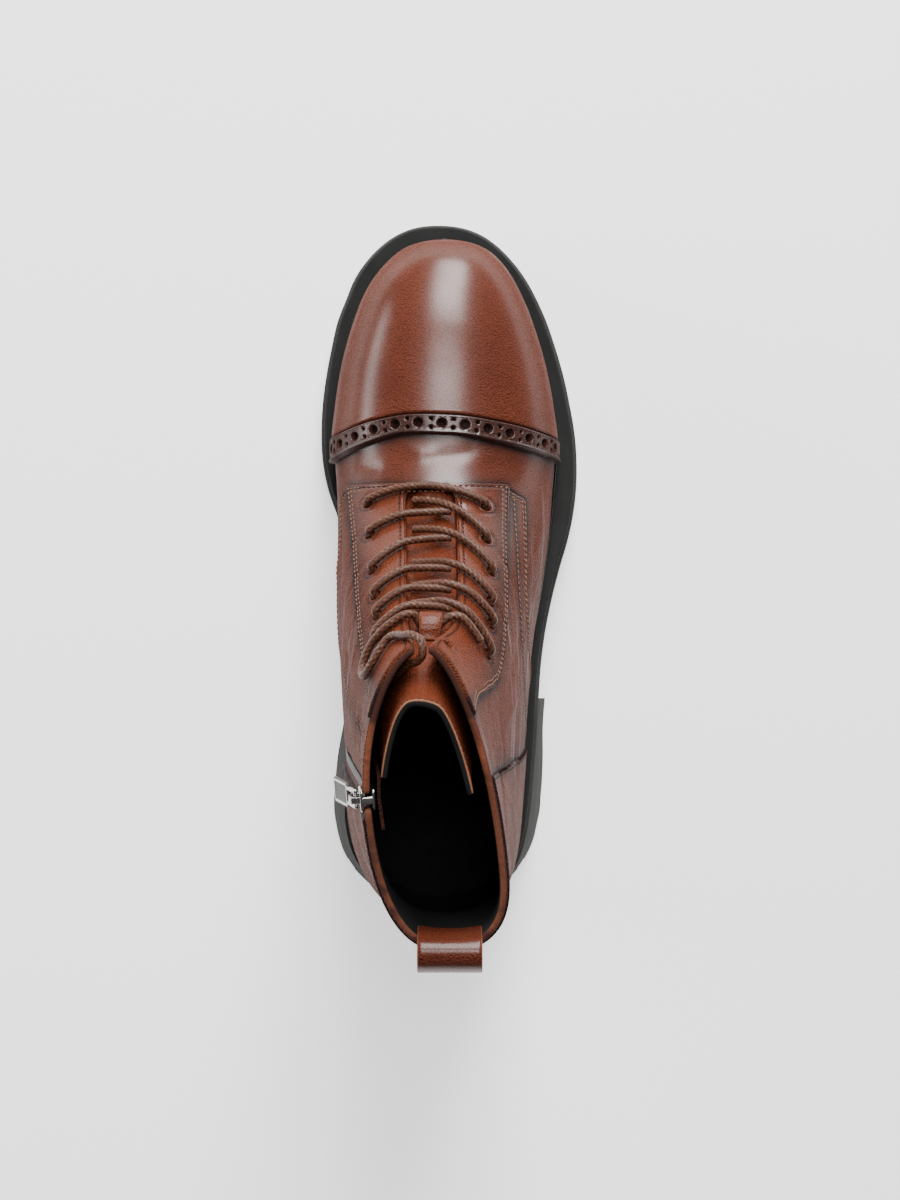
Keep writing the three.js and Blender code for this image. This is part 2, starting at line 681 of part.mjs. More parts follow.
const innerSide = [
  [-SIDE, 0],
  [stayJoin, 0],
  [stayJoin, FRONT],
  [-SIDE, FRONT],
];
let stayMedial = stayOver(STAY_MEDIAL).intersect(topBlock(innerSide, 0, 2 * HEIGHT));
let stayLateral = stayOver(STAY_LATERAL);
for (const hole of holes) {
  stayMedial = stayMedial.subtract(hole);
  stayLateral = stayLateral.subtract(hole);
}

// Counter: the heel panel, up to the collar, stopped short of the zip on the inner side.
const counterFront = 0.108 * LENGTH;
const counterLateral = sideBlock(
  [
    [BACK, 0],
    [counterFront + 0.02 * LENGTH, 0],
    [counterFront, 0.45 * HEIGHT],
    [counterFront - 0.008 * LENGTH, 2 * HEIGHT],
    [BACK, 2 * HEIGHT],
  ],
  -0.001 * BALL,
  SIDE,
);
const zipMargin = ZIP_CHAIN / 2 + ZIP_WELT;
const way = new THREE.Vector2((ZIP_HEAD.y - ZIP_FOOT.y) * LENGTH, (ZIP_HEAD.z - ZIP_FOOT.z) * HEIGHT).normalize();
const zipY = (z) => ZIP_FOOT.y * LENGTH + ((z - ZIP_FOOT.z * HEIGHT) * way.x) / way.y;
const medialEdge = (z) => [Math.min(counterFront, zipY(z) - zipMargin), z];
const medialEdges = [0, 0.4, 0.7, 1.5].map((share) => medialEdge(share * HEIGHT));
const counterMedial = sideBlock([[BACK, 0], ...medialEdges, [BACK, 1.5 * HEIGHT]], -SIDE, 0);
const counter = layer.intersect(counterLateral.add(counterMedial)).subtract(overCollar(COLLAR_EDGE));

// Bead of gloss rubber around the foot of the upper.
const bead = form(GAP + BEAD_DEPTH)
  .subtract(raised)
  .subtract(low)
  .subtract(overSole(GAP + BEAD_HEIGHT));

// Insole inside the upper's foot.
const insole = form(-WALL - GAP)
  .subtract(low)
  .subtract(overSole(GAP + INSOLE));

// Sole: midsole flange, outsole with lugs, heel block.
const midsole = slab(SOLE, [
  { inset: RIM, z: (y) => soleTop(y) - MIDSOLE + GAP },
  { inset: RIM, z: (y) => soleTop(y) - 1 },
  { inset: RIM + 0.8, z: (y) => soleTop(y) },
]);
const breast = HEEL.at(-1).y * LENGTH;
let outsole = slab(SOLE, [
  { inset: 2, z: (y) => soleGround(y) },
  { inset: 0, z: (y) => soleGround(y) + 2 },
  { inset: 0, z: (y) => soleTop(y) - MIDSOLE - 0.8 },
  { inset: 0.8, z: (y) => soleTop(y) - MIDSOLE },
]);
const lugFrom = 0.4 * LENGTH;
const lugTo = 0.84 * LENGTH;
const lugPitch = 3.2 * LUG_GROOVE;
for (let y = lugFrom; y < lugTo; y += lugPitch) {
  const top = soleGround(y) + LUG_DEPTH;
  for (const side of [-1, 1]) {
    const place = new THREE.Matrix4().makeRotationZ(side * 0.22);
    place.setPosition(side * 0.3 * BALL, y, top - HEIGHT / 2);
    outsole = outsole.subtract(boxAt([0.44 * BALL, LUG_GROOVE, HEIGHT], place));
  }
}
const heelTop = (y) => soleGround(y) - GAP;
let heel = slab(HEEL, [
  { inset: 1, z: () => 0 },
  { inset: 0, z: () => 1.5 },
  { inset: HEEL_FLARE, z: heelTop },
]);
for (let y = -0.07 * LENGTH; y < breast - LUG_GROOVE; y += 1.4 * lugPitch) {
  for (const side of [-1, 1]) {
    const place = new THREE.Matrix4().makeTranslation(side * 0.34 * BALL, y, LUG_DEPTH / 2 - 0.5);
    heel = heel.subtract(boxAt([0.36 * BALL, LUG_GROOVE, LUG_DEPTH + 1], place));
  }
}

// Tongue: under the throat, its top leaning back into the shaft, its wings going round to the sides.
const tongueUs = [7.6, 8.2, 9, 10, 11, 12, 13, 14, 15, 16, 17, 18, 19, 20, 20.6];
const tongueFall = (u) => THREE.MathUtils.smoothstep(u, 12.5, 20.5);
const tongueMiddle = -0.018 * BALL;
const tongueTurns = (u) => {
  const fall = tongueFall(u);
  const half = 0.172 * BALL;
  const from = THREE.MathUtils.lerp(turnAt(u, tongueMiddle + half), THREE.MathUtils.degToRad(38), fall);
  const to = THREE.MathUtils.lerp(turnAt(u, tongueMiddle - half), THREE.MathUtils.degToRad(155), fall);
  return stations(from, to, 12);
};
const tongueMove = (p, u, turn) => {
  const fall = tongueFall(u);
  const span = tongueTurns(u);
  const share = (turn - span[0]) / (span.at(-1) - span[0]);
  const spread = TONGUE_OPEN * (1 - THREE.MathUtils.smoothstep(share, 0.3, 0.62));
  p.x = tongueMiddle + (p.x - tongueMiddle) * (1 - 0.24 * fall) - 0.024 * BALL * fall + spread * fall ** 2;
  p.y += TONGUE_ROUND * THREE.MathUtils.smoothstep(share, 0.35, 0.8) * fall ** 2 - TONGUE_LEAN * fall;
  return p;
};
const underFacing = -WALL - 2.5 * GAP;
const tongue = patch(
  tongueUs,
  tongueTurns,
  () => underFacing - TONGUE,
  () => underFacing,
  tongueMove,
);

// Keeper: a strap along the tongue that the lace runs through.
const keeperMiddle = 14.35;
const keeperHalf = KEEPER / 2 / 9;
const keeperTurns = (u) => stations(turnAt(u, 0.012 * BALL), turnAt(u, -0.053 * BALL), 3);
const keeperRise = (u) => {
  const t = (u - keeperMiddle) / keeperHalf;
  return underFacing + GAP + (LACE + 9 * GAP) * Math.sqrt(Math.max(1 - t * t, 0));
};
const keeper = patch(
  [-1, -0.93, -0.7, -0.35, 0, 0.35, 0.7, 0.93, 1].map((t) => keeperMiddle + keeperHalf * t),
  keeperTurns,
  keeperRise,
  (u) => keeperRise(u) + OVERLAY,
  tongueMove,
);

// Laces: a bar straight across the lowest holes, then a crossing at each row.
const over = GAP + OVERLAY + 1.6 * GAP + LACE / 2;
function strand(k, side) {
  const here = HOLES[k];
  const before = HOLES[k - 1];
  const edge = LACE / 2 + 1.2;
  const bow = 1.8 + 0.16 * k;
  const line = (start, startU, end, endU) => (t, lift) =>
    onTop(startU + (endU - startU) * t ** bow, start + (end - start) * t, lift);
  const down = (at) => [at(0.9, over), at(0.985, over - 0.4), at(1, over - 2), at(1, -0.4)];
  const rightStart = THROAT[1].x * BALL + edge;
  const rightU = before.um - 0.06;
  const right = line(rightStart, rightU, here.lateral * BALL, here.ul);
  if (side > 0) {
    const out = [right(0, 0.3), right(0.2, 0.9), right(0.45, over - 0.9), right(0.68, over)];
    return tube([...out, ...down(right)], LACE, 9, 6);
  }
  const leftStart = THROAT[10].x * BALL - edge;
  const t = (leftStart - rightStart) / (here.lateral * BALL - rightStart);
  const leftU = rightU + (here.ul - rightU) * t ** bow + 0.05;
  const left = line(leftStart, leftU, here.medial * BALL, here.um);
  const under = [left(0, 0.9), left(0.15, 1), left(0.38, 1.8)];
  return tube([...under, left(0.62, over), ...down(left)], LACE, 9, 6);
}
const laceRows = HOLES.slice(0, 6).map((row, k) => {
  if (k > 0) return join([strand(k, 1), strand(k, -1)]);
  const at = (t, lift) =>
    onTop(
      row.um + (row.ul - row.um) * t - 0.45 * Math.sin(Math.PI * t),
      (row.medial + (row.lateral - row.medial) * t) * BALL,
      lift,
    );
  const start = [at(0, -0.4), at(0, over - 2), at(0.015, over - 0.4), at(0.1, over + 0.2), at(0.28, over + 0.3)];
  const end = [at(0.72, over + 0.3), at(0.9, over + 0.2), at(0.985, over - 0.4), at(1, over - 2), at(1, -0.4)];
  return tube([...start, at(0.5, over), ...end], LACE, 16, 6);
});

// The bow: from the outer facing through the keeper, a loop on the inner facing, and an end that
// drops between the tongue and the collar.
const keeperPoint = (x) => {
  const turn = turnAt(keeperMiddle, x);
  return tongueMove(skin(keeperMiddle, turn, underFacing + GAP + LACE / 2 + 3 * GAP), keeperMiddle, turn);
};
const besideTongue = -WALL - LACE / 2 - 3 * GAP;
const bowPoints = [
  ...BOW.map((row) => onTop(row.u, row.x * BALL, over + 0.3)),
  onTop(keeperMiddle, 0.038 * BALL, 2.2),
  keeperPoint(0.006 * BALL),
  keeperPoint(-0.024 * BALL),
  keeperPoint(-0.052 * BALL),
  onTop(keeperMiddle + 0.04, -0.073 * BALL, 1.9),
  ...BOW_LOOP.map((row) => onTop(row.u, row.x * BALL, over)),
  onTop(17.3, -0.073 * BALL, over),
  onTop(17.8, -0.05 * BALL, 1.4),
  onTop(18.0, -0.051 * BALL, -3.4),
  onTop(17.95, -0.085 * BALL, besideTongue - 0.6),
  onTop(17.8, -0.13 * BALL, besideTongue),
  onTop(17.4, -0.17 * BALL, besideTongue),
  onTop(16.9, -0.2 * BALL, besideTongue),
];
const bow = tube(bowPoints, LACE, 38, 6);

// Zip: chain in the slot, guard behind it, slider near its head with a hinged tab.
const zipTop = ZIP_HEAD.z * HEIGHT;
const chain = outside
  .subtract(form(-ZIP_THICK))
  .intersect(zipStrip(ZIP_CHAIN / 2, -2 * GAP, -SLIDER_LENGTH * 0.4))
  .subtract(low);
const guardFace = WALL + GAP + SLIDER_PLATE + 2 * GAP;
const guard = form(-guardFace)
  .subtract(form(-guardFace - OVERLAY))
  .intersect(zipStrip(ZIP_GUARD / 2, GUARD_PAST, 2 * GUARD_PAST))
  .subtract(overCollar(-2));

const headAt = innerAt(zipY(zipTop - SLIDER_LENGTH / 2), zipTop - SLIDER_LENGTH / 2);
const headPoint = skin(headAt.u, headAt.turn, 0);
const outward = skin(headAt.u, headAt.turn, 1).sub(headPoint).normalize();
const along3 = new THREE.Vector3(0, way.x, way.y);
const upWay = along3.clone().addScaledVector(outward, -along3.dot(outward)).normalize();
const acrossWay = outward.clone().cross(upWay).normalize();
const sliderFrame = new THREE.Matrix4().makeBasis(acrossWay, outward, upWay).setPosition(headPoint);
const moved = (frame, x, y, z) => frame.clone().multiply(new THREE.Matrix4().makeTranslation(x, y, z));
const sliderBox = (sizes, x, y, z) => boxAt(sizes, moved(sliderFrame, x, y, z));
const plateIn = -WALL - GAP - SLIDER_PLATE / 2;
const plateOut = GAP + SLIDER_PLATE / 2;
const bridgeRise = EYE_BAR + 4 * GAP;
const plateTop = GAP + SLIDER_PLATE;
const postHeight = bridgeRise + BRIDGE_BAR + 2 * GAP;
const postMiddle = plateTop + (bridgeRise + BRIDGE_BAR) / 2 - GAP;
const postOff = (BRIDGE_LENGTH - BRIDGE_POST) / 2;
const noseDepth = plateOut - plateIn;
const noseOff = 0.42 * SLIDER_LENGTH;
const slider = join([
  sliderBox([SLIDER_WIDTH, SLIDER_PLATE, SLIDER_LENGTH], 0, plateOut, 0),
  sliderBox([SLIDER_WIDTH, SLIDER_PLATE, SLIDER_LENGTH], 0, plateIn, 0),
  sliderBox([0.6 * ZIP_CHAIN, noseDepth, 0.16 * SLIDER_LENGTH], 0, (plateOut + plateIn) / 2, noseOff),
  sliderBox([BRIDGE_WIDTH, postHeight, BRIDGE_POST], 0, postMiddle, postOff),
  sliderBox([BRIDGE_WIDTH, postHeight, BRIDGE_POST], 0, postMiddle, -postOff),
  sliderBox([BRIDGE_WIDTH, BRIDGE_BAR, BRIDGE_LENGTH], 0, plateTop + bridgeRise + BRIDGE_BAR / 2, 0),
]);

// Tab: an eye bar under the bridge and a plate hanging from it, leaning on the wall's swell.
const hingeOut = plateTop + bridgeRise / 2;
const hinge = headPoint.clone().addScaledVector(outward, hingeOut).addScaledVector(upWay, 1.2);
const lean = THREE.MathUtils.degToRad(17);
const tabDown = upWay.clone().negate().multiplyScalar(Math.cos(lean)).addScaledVector(outward, Math.sin(lean));
const tabOut = acrossWay.clone().cross(tabDown).normalize();
const tabFrame = new THREE.Matrix4().makeBasis(acrossWay, tabDown, tabOut).setPosition(hinge);
const tabBox = (sizes, x, y, z) => boxAt(sizes, moved(tabFrame, x, y, z));
const tabFoot = 0.33 * TAB_LENGTH;
const eyeLength = 0.72 * TAB_WIDTH;
const legOff = (eyeLength - EYE_BAR) / 2;
const tab = join([
  rodAt(EYE_BAR, eyeLength, tabFrame.clone().multiply(new THREE.Matrix4().makeRotationZ(Math.PI / 2))),
  tabBox([EYE_BAR, tabFoot + EYE_BAR / 2, EYE_BAR], legOff, tabFoot / 2, 0),
  tabBox([EYE_BAR, tabFoot + EYE_BAR / 2, EYE_BAR], -legOff, tabFoot / 2, 0),
  tabBox([TAB_WIDTH, TAB_LENGTH - tabFoot, TAB_THICK], 0, (tabFoot + TAB_LENGTH) / 2 - GAP, 0),
]);

// Pull loop: a strap standing behind the collar's back.
const loopZ = collarZ(-0.12 * LENGTH);
const backY = (z) => {
  let best = 0;
  for (let k = 0; k <= 60; k += 1) {
    const p = facePoint(15 + k / 10, -Math.PI / 2);
    if (k === 0 || Math.abs(p.z - z) < Math.abs(facePoint(15 + best / 10, -Math.PI / 2).z - z)) best = k;
  }
  return facePoint(15 + best / 10, -Math.PI / 2).y;
};
const loopLine = new THREE.CatmullRomCurve3(
  [
    [backY(loopZ - 34) - GAP - LOOP_THICK, loopZ - 34],
    [backY(loopZ - 26) - GAP - LOOP_THICK, loopZ - 26],
    [backY(loopZ) - LOOP_REACH * 0.8, loopZ - 14],
    [backY(loopZ) - LOOP_REACH, loopZ - 4],
    [backY(loopZ) - LOOP_REACH * 0.55, loopZ + 4.5],
    [backY(loopZ) + 1, loopZ + 5],
    [backY(loopZ) + WALL + GAP + LOOP_THICK, loopZ],
    [backY(loopZ) + WALL + GAP + LOOP_THICK + 0.6, loopZ - 12],
  ].map(([y, z]) => new THREE.Vector3(0, y, z)),
);
const loopPoints = loopLine.getSpacedPoints(26);
const loopEdge = (side) =>
  loopPoints.map((p, i) => {
    const t = loopLine.getTangentAt(i / 26);
    return [p.y - (side * t.z * LOOP_THICK) / 2, p.z + (side * t.y * LOOP_THICK) / 2];
  });
const loopMiddle = 0.045 * BALL;
const pullLoop = sideBlock(
  [...loopEdge(1), ...loopEdge(-1).reverse()],
  loopMiddle - LOOP_WIDTH / 2,
  loopMiddle + LOOP_WIDTH / 2,
).subtract(
  form(GAP + OVERLAY + GAP)
    .subtract(form(-WALL - GAP))
    .subtract(overCollar(-GAP)),
);

// Scene
export const boot = new THREE.Group();
const add = (name, solid, material) => boot.add(meshOf(name, solid, material));
add("outsole", outsole, paleRubber);
add("heel", heel, paleRubber);
add("midsole", midsole, rubber);
add("bead", bead, gloss);
add("insole", insole, lining);
add("upper", upper, leather);
add("toe_cap", toeCap, leather);
add("cap_band", capBand, darkLeather);
add("eyestay_medial", stayMedial, darkLeather);
add("eyestay_lateral", stayLateral, darkLeather);
add("counter", counter, leather);
add("tongue", tongue, edgeLeather);
add("lace_keeper", keeper, edgeLeather);
laceRows.forEach((solid, k) => add("lace_row_" + (k + 1), solid, cord));
add("lace_bow", bow, cord);
add("zip_chain", chain, silver);
add("zip_guard", guard, darkLeather);
add("zip_slider", slider, silver);
add("zip_pull", tab, silver);
add("pull_loop", pullLoop, leather);

export default boot;
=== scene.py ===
"""Looks of a right ankle boot in burnished leather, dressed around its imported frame.

Sizes are in millimetres until a mesh is made. +X is the outer side, +Y the toe, +Z up.
"""

import math

import bpy
import numpy as np
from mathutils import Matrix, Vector, kdtree
from mathutils.geometry import delaunay_2d_cdt


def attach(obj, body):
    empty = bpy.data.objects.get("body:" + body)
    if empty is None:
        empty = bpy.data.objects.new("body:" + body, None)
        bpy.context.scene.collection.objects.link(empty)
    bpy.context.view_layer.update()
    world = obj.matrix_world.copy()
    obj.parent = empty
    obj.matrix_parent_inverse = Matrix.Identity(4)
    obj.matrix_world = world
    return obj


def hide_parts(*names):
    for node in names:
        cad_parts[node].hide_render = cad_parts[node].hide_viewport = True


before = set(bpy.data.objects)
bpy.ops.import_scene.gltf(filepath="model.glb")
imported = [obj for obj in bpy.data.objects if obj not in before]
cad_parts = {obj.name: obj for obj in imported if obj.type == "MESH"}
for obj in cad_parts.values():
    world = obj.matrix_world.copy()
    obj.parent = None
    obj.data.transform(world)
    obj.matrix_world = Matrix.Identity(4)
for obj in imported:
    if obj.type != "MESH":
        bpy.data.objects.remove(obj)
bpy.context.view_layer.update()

# Driving sizes
MM = 0.001
LENGTH = 280.0
BALL = 105.0
HEIGHT = 170.0
WALL = 2.2
OVERLAY = 1.2
BAND_OVERLAY = 1.7
GAP = 0.3
QUARTER = 0.55  # step of the quarters over the vamp
BEAD_HEIGHT = 3.0
BEAD_DEPTH = 2.6
MIDSOLE = 7.0
RIM = 1.5
HEEL_FLARE = 5.5
LUG_DEPTH = 4.0
LUG_GROOVE = 4.0
TONGUE = 2.8
TONGUE_LEAN = 15.0
TONGUE_OPEN = 6.2
TONGUE_ROUND = 4.0
LACE = 3.0
LACE_HOLE = 3.9
KEEPER = 9.0
ZIP_CHAIN = 5.6
ZIP_THICK = 1.8
SLIDER_WIDTH = 8.4
SLIDER_LENGTH = 13.0
SLIDER_PLATE = 1.4
TAB_WIDTH = 9.6
TAB_LENGTH = 23.0
TAB_THICK = 1.5
EYE_BAR = 1.5
LOOP_WIDTH = 22.0
LOOP_THICK = 1.8
LOOP_REACH = 8.0
BROGUE_HOLE = 3.3
BROGUE_HOLES = 13
PIN_HOLE = 1.15
PIN_HOLE_OFF = 1.65  # from the band's middle line
FACING_ROWS = (1.75, 3.3)  # stitch rows, in from each panel's edge
QUARTER_ROWS = (0.95, 2.35)
COUNTER_ROW = 1.8
BAND_ROWS = (0.95, 2.5)
STITCH_PITCH = 2.2
TOOTH_PITCH = 1.5
PEBBLES = 1500  # leather grains in a metre

# The photo's camera: straight above this point of the floor, this high
CAMERA_OVER = (4.8, 89.7)
CAMERA_HEIGHT = 1050.0
FOCAL_PIXELS = 2524.5
PHOTO_WIDTH = 900


def table(names, rows):
    """Columns by name."""
    return dict(zip(names.split(), np.array(rows, float).T))


# The upper's sections, toe to above the collar, as the solids have them
SECTION_COLUMNS = "vy vz dy dz cv cd medial lateral hm hl pb pt"
SECTIONS = table(SECTION_COLUMNS, [
    [0.8286, 0.2471, 0.8286, 0.2471, 0.0248, 0.0248, 0.0, 0.0, 0.44, 0.44, 2.6, 2.2],
    [0.8204, 0.1882, 0.8204, 0.3, 0.0248, 0.0248, 0.1286, 0.1286, 0.44, 0.44, 2.7, 2.2],
    [0.7964, 0.15, 0.7964, 0.3471, 0.0238, 0.0219, 0.2124, 0.2124, 0.44, 0.44, 2.9, 2.2],
    [0.7586, 0.1235, 0.7586, 0.3824, 0.019, 0.0171, 0.28, 0.28, 0.44, 0.44, 3.2, 2.2],
    [0.7089, 0.1035, 0.7089, 0.4035, 0.0229, 0.0152, 0.3333, 0.3333, 0.44, 0.44, 3.4, 2.2],
    [0.6511, 0.09, 0.6511, 0.4141, 0.0286, 0.0133, 0.3771, 0.3771, 0.43, 0.43, 3.5, 2.2],
    [0.5929, 0.0841, 0.5929, 0.42, 0.0362, 0.0095, 0.4038, 0.4038, 0.42, 0.42, 3.6, 2.15],
    [0.5357, 0.0824, 0.5375, 0.4294, 0.0419, 0.0038, 0.419, 0.419, 0.41, 0.41, 3.6, 2.1],
    [0.475, 0.0871, 0.4857, 0.4588, 0.0457, -0.0038, 0.4076, 0.4076, 0.4, 0.38, 3.6, 2.1],
    [0.4071, 0.1012, 0.4429, 0.5106, 0.04, -0.0114, 0.3962, 0.4, 0.38, 0.35, 3.5, 2.15],
    [0.3286, 0.1235, 0.4054, 0.5694, 0.0248, -0.0171, 0.3848, 0.3848, 0.36, 0.32, 3.4, 2.25],
    [0.2429, 0.15, 0.3725, 0.6306, 0.0095, -0.021, 0.3695, 0.3638, 0.35, 0.3, 3.2, 2.35],
    [0.1571, 0.1735, 0.3457, 0.6894, 0.0038, -0.0248, 0.3543, 0.3448, 0.34, 0.29, 3.1, 2.4],
    [0.0714, 0.1871, 0.3221, 0.7459, 0.0019, -0.0286, 0.341, 0.3314, 0.34, 0.3, 3, 2.4],
    [-0.0179, 0.1882, 0.3021, 0.8012, 0.0019, -0.0324, 0.3276, 0.3181, 0.34, 0.31, 2.9, 2.35],
    [-0.0946, 0.2059, 0.2864, 0.8565, 0.0057, -0.0352, 0.3124, 0.301, 0.35, 0.31, 2.7, 2.25],
    [-0.1214, 0.3353, 0.2750, 0.9082, 0.0133, -0.0381, 0.2914, 0.2743, 0.37, 0.3, 2.5, 2.12],
    [-0.1129, 0.4882, 0.2686, 0.9529, 0.021, -0.04, 0.2705, 0.2495, 0.4, 0.28, 2.45, 2],
    [-0.1057, 0.6353, 0.2643, 0.9941, 0.0267, -0.0419, 0.2514, 0.2324, 0.43, 0.26, 2.45, 1.9],
    [-0.1086, 0.7882, 0.2621, 1.0318, 0.0305, -0.0429, 0.24, 0.221, 0.47, 0.24, 2.45, 1.82],
    [-0.1157, 0.9471, 0.2607, 1.0682, 0.0333, -0.0429, 0.2324, 0.2152, 0.5, 0.24, 2.45, 1.82],
    [-0.1193, 1.0824, 0.2607, 1.1200, 0.0343, -0.0429, 0.2324, 0.2152, 0.5, 0.24, 2.45, 1.82],
])

# The sole's side profile and its outlines from above
PROFILE = table("y top ground", [
    [-0.1429, 0.2382, 0.168],
    [-0.1107, 0.2353, 0.168],
    [0.0, 0.2306, 0.164],
    [0.1071, 0.2212, 0.156],
    [0.1643, 0.2129, 0.144],
    [0.2143, 0.2, 0.124],
    [0.2857, 0.1788, 0.08],
    [0.3464, 0.16, 0.03],
    [0.3929, 0.147, 0.0],
    [0.4286, 0.1388, 0.0],
    [0.5, 0.1306, 0.0],
    [0.5714, 0.1294, 0.0],
    [0.6286, 0.1335, 0.0],
    [0.6714, 0.1395, 0.005],
    [0.7143, 0.1471, 0.013],
    [0.7857, 0.1647, 0.03],
    [0.8357, 0.1776, 0.046],
    [0.8714, 0.1859, 0.058],
])
SOLE = table("y medial lateral", [
    [-0.1214, 0.0, 0.0],
    [-0.118, -0.109, 0.109],
    [-0.1071, -0.186, 0.186],
    [-0.0893, -0.247, 0.249],
    [-0.0643, -0.295, 0.298],
    [-0.0321, -0.329, 0.331],
    [0.0071, -0.3486, 0.352],
    [0.05, -0.3524, 0.3648],
    [0.0929, -0.3514, 0.3743],
    [0.1357, -0.3438, 0.3819],
    [0.1786, -0.333, 0.388],
    [0.2286, -0.3162, 0.3981],
    [0.2786, -0.301, 0.4171],
    [0.3286, -0.3067, 0.4457],
    [0.3714, -0.3333, 0.4762],
    [0.4071, -0.3657, 0.5048],
    [0.4429, -0.3943, 0.5257],
    [0.4821, -0.4305, 0.539],
    [0.525, -0.4524, 0.541],
    [0.5643, -0.4571, 0.5333],
    [0.6054, -0.4524, 0.5143],
    [0.6464, -0.4381, 0.4905],
    [0.6857, -0.4181, 0.46],
    [0.7268, -0.3924, 0.4219],
    [0.7589, -0.3581, 0.3829],
    [0.7875, -0.3257, 0.34],
    [0.8125, -0.28, 0.2895],
    [0.8339, -0.2248, 0.2324],
    [0.85, -0.1638, 0.1705],
    [0.8607, -0.0914, 0.0943],
    [0.8643, -0.0038, -0.0038],
])
HEEL = table("y medial lateral", [
    [-0.1357, 0.0, 0.0],
    [-0.131, -0.119, 0.113],
    [-0.1179, -0.214, 0.205],
    [-0.0943, -0.2905, 0.2752],
    [-0.0736, -0.341, 0.3219],
    [-0.0529, -0.3733, 0.3543],
    [-0.0321, -0.3924, 0.3771],
    [-0.0114, -0.4048, 0.3895],
    [0.0093, -0.4124, 0.401],
    [0.03, -0.4124, 0.4048],
    [0.0507, -0.4086, 0.4095],
    [0.0921, -0.3971, 0.4133],
    [0.1336, -0.3771, 0.4133],
    [0.175, -0.3571, 0.421],
])

# Panel edges from above, x in shares of BALL and y of LENGTH
CAP_REAR = table("x y", [
    [-0.6, 0.487],
    [-0.3829, 0.5164],
    [-0.2381, 0.5386],
    [-0.1048, 0.55],
    [0.0476, 0.5486],
    [0.2381, 0.5364],
    [0.4695, 0.515],
    [0.62, 0.495],
])
CAP_FRONT = table("x y", [
    [-0.6, 0.5225],
    [-0.3752, 0.5521],
    [-0.2286, 0.57],
    [-0.0838, 0.5779],
    [0.0571, 0.5764],
    [0.2476, 0.5664],
    [0.4543, 0.5464],
    [0.62, 0.5264],
])
# Both edges of the throat's gap and both outer edges of the facings, toe to collar
THROAT = table("y medial lateral", [
    [0.14, -0.081, -0.018],
    [0.2614, -0.081, -0.018],
    [0.285, -0.098, 0.05],
    [0.3214, -0.1086, 0.0771],
    [0.41, -0.1143, 0.074],
    [0.457, -0.12, 0.0676],
    [0.47, -0.105, 0.055],
    [0.4768, -0.06, 0.01],
])
FACING = table("y medial lateral", [
    [0.1, -0.2, 0.11],
    [0.185, -0.221, 0.125],
    [0.1964, -0.228, 0.139],
    [0.2071, -0.235, 0.1971],
    [0.2414, -0.253, 0.2248],
    [0.3179, -0.285, 0.2467],
    [0.3964, -0.308, 0.2514],
    [0.48, -0.335, 0.262],
])
FACING_FRONT = 0.48
# Lower edges of the quarters, from the side: y in shares of LENGTH, z of HEIGHT
QUARTER_EDGE = table("y lateral medial", [
    [0.135, 0.200, 0.930],
    [0.1546, 0.203, 0.800],
    [0.165, 0.207, 0.700],
    [0.190, 0.240, 0.615],
    [0.2215, 0.300, 0.545],
    [0.2655, 0.4165, 0.430],
    [0.3205, 0.4547, 0.405],
    [0.3755, 0.4436, 0.385],
    [0.4307, 0.4117, 0.350],
    [0.4591, 0.3927, 0.325],
])
# and their front edge, from above
QUARTER_FRONT = table("x y", [
    [-0.40, 0.440],
    [-0.36, 0.459],
    [-0.338, 0.470],
    [-0.30, 0.475],
    [0.25, 0.475],
    [0.2578, 0.473],
    [0.3093, 0.4625],
    [0.3318, 0.459],
    [0.38, 0.445],
])
ZIP_FOOT = (0.1129, 0.4)
ZIP_HEAD = (0.0679, 0.965)

HOLES = table("um medial ul lateral", [
    [8.72, -0.2481, 8.87, 0.1736],
    [9.77, -0.2375, 10.01, 0.1722],
    [11.15, -0.2223, 11.15, 0.1852],
    [12.33, -0.2083, 12.38, 0.1801],
    [13.37, -0.1987, 13.28, 0.1792],
    [14.58, -0.1961, 14.6, 0.1674],
    [16.7, -0.135, 16.6, 0.032],
])
BOW = table("u x", [
    [14.87, 0.1215],
    [14.5, 0.085],
    [14.35, 0.062],
])
BOW_LOOP = table("u x", [
    [14.5, -0.094],
    [14.6, -0.12],
    [14.8, -0.16],
    [15.0, -0.2],
    [15.45, -0.2255],
    [16.05, -0.2205],
    [16.35, -0.1905],
    [16.05, -0.1655],
    [15.8, -0.14],
    [16.1, -0.115],
    [16.7, -0.097],
])


# The lasted form
def section_rows():
    rows = np.stack([SECTIONS[name] for name in SECTION_COLUMNS.split()], -1)
    turned = rows[1].copy()
    turned[[0, 1, 2, 3]] = rows[1][[2, 3, 0, 1]]
    turned[[6, 7]] *= -1
    return np.vstack([turned, rows, rows[-1]])


ROWS = section_rows()
LAST = len(ROWS) - 3


def section(u):
    """Catmull-Rom through the sections."""
    k = np.clip(np.floor(u).astype(int), 0, LAST - 1)
    t = (u - k)[..., None]
    p0, p1, p2, p3 = ROWS[k], ROWS[k + 1], ROWS[k + 2], ROWS[k + 3]
    cubic = 3 * p1 - p0 - 3 * p2 + p3
    return (2 * p1 + (p2 - p0) * t + (2 * p0 - 5 * p1 + 4 * p2 - p3) * t * t + cubic * t**3) / 2


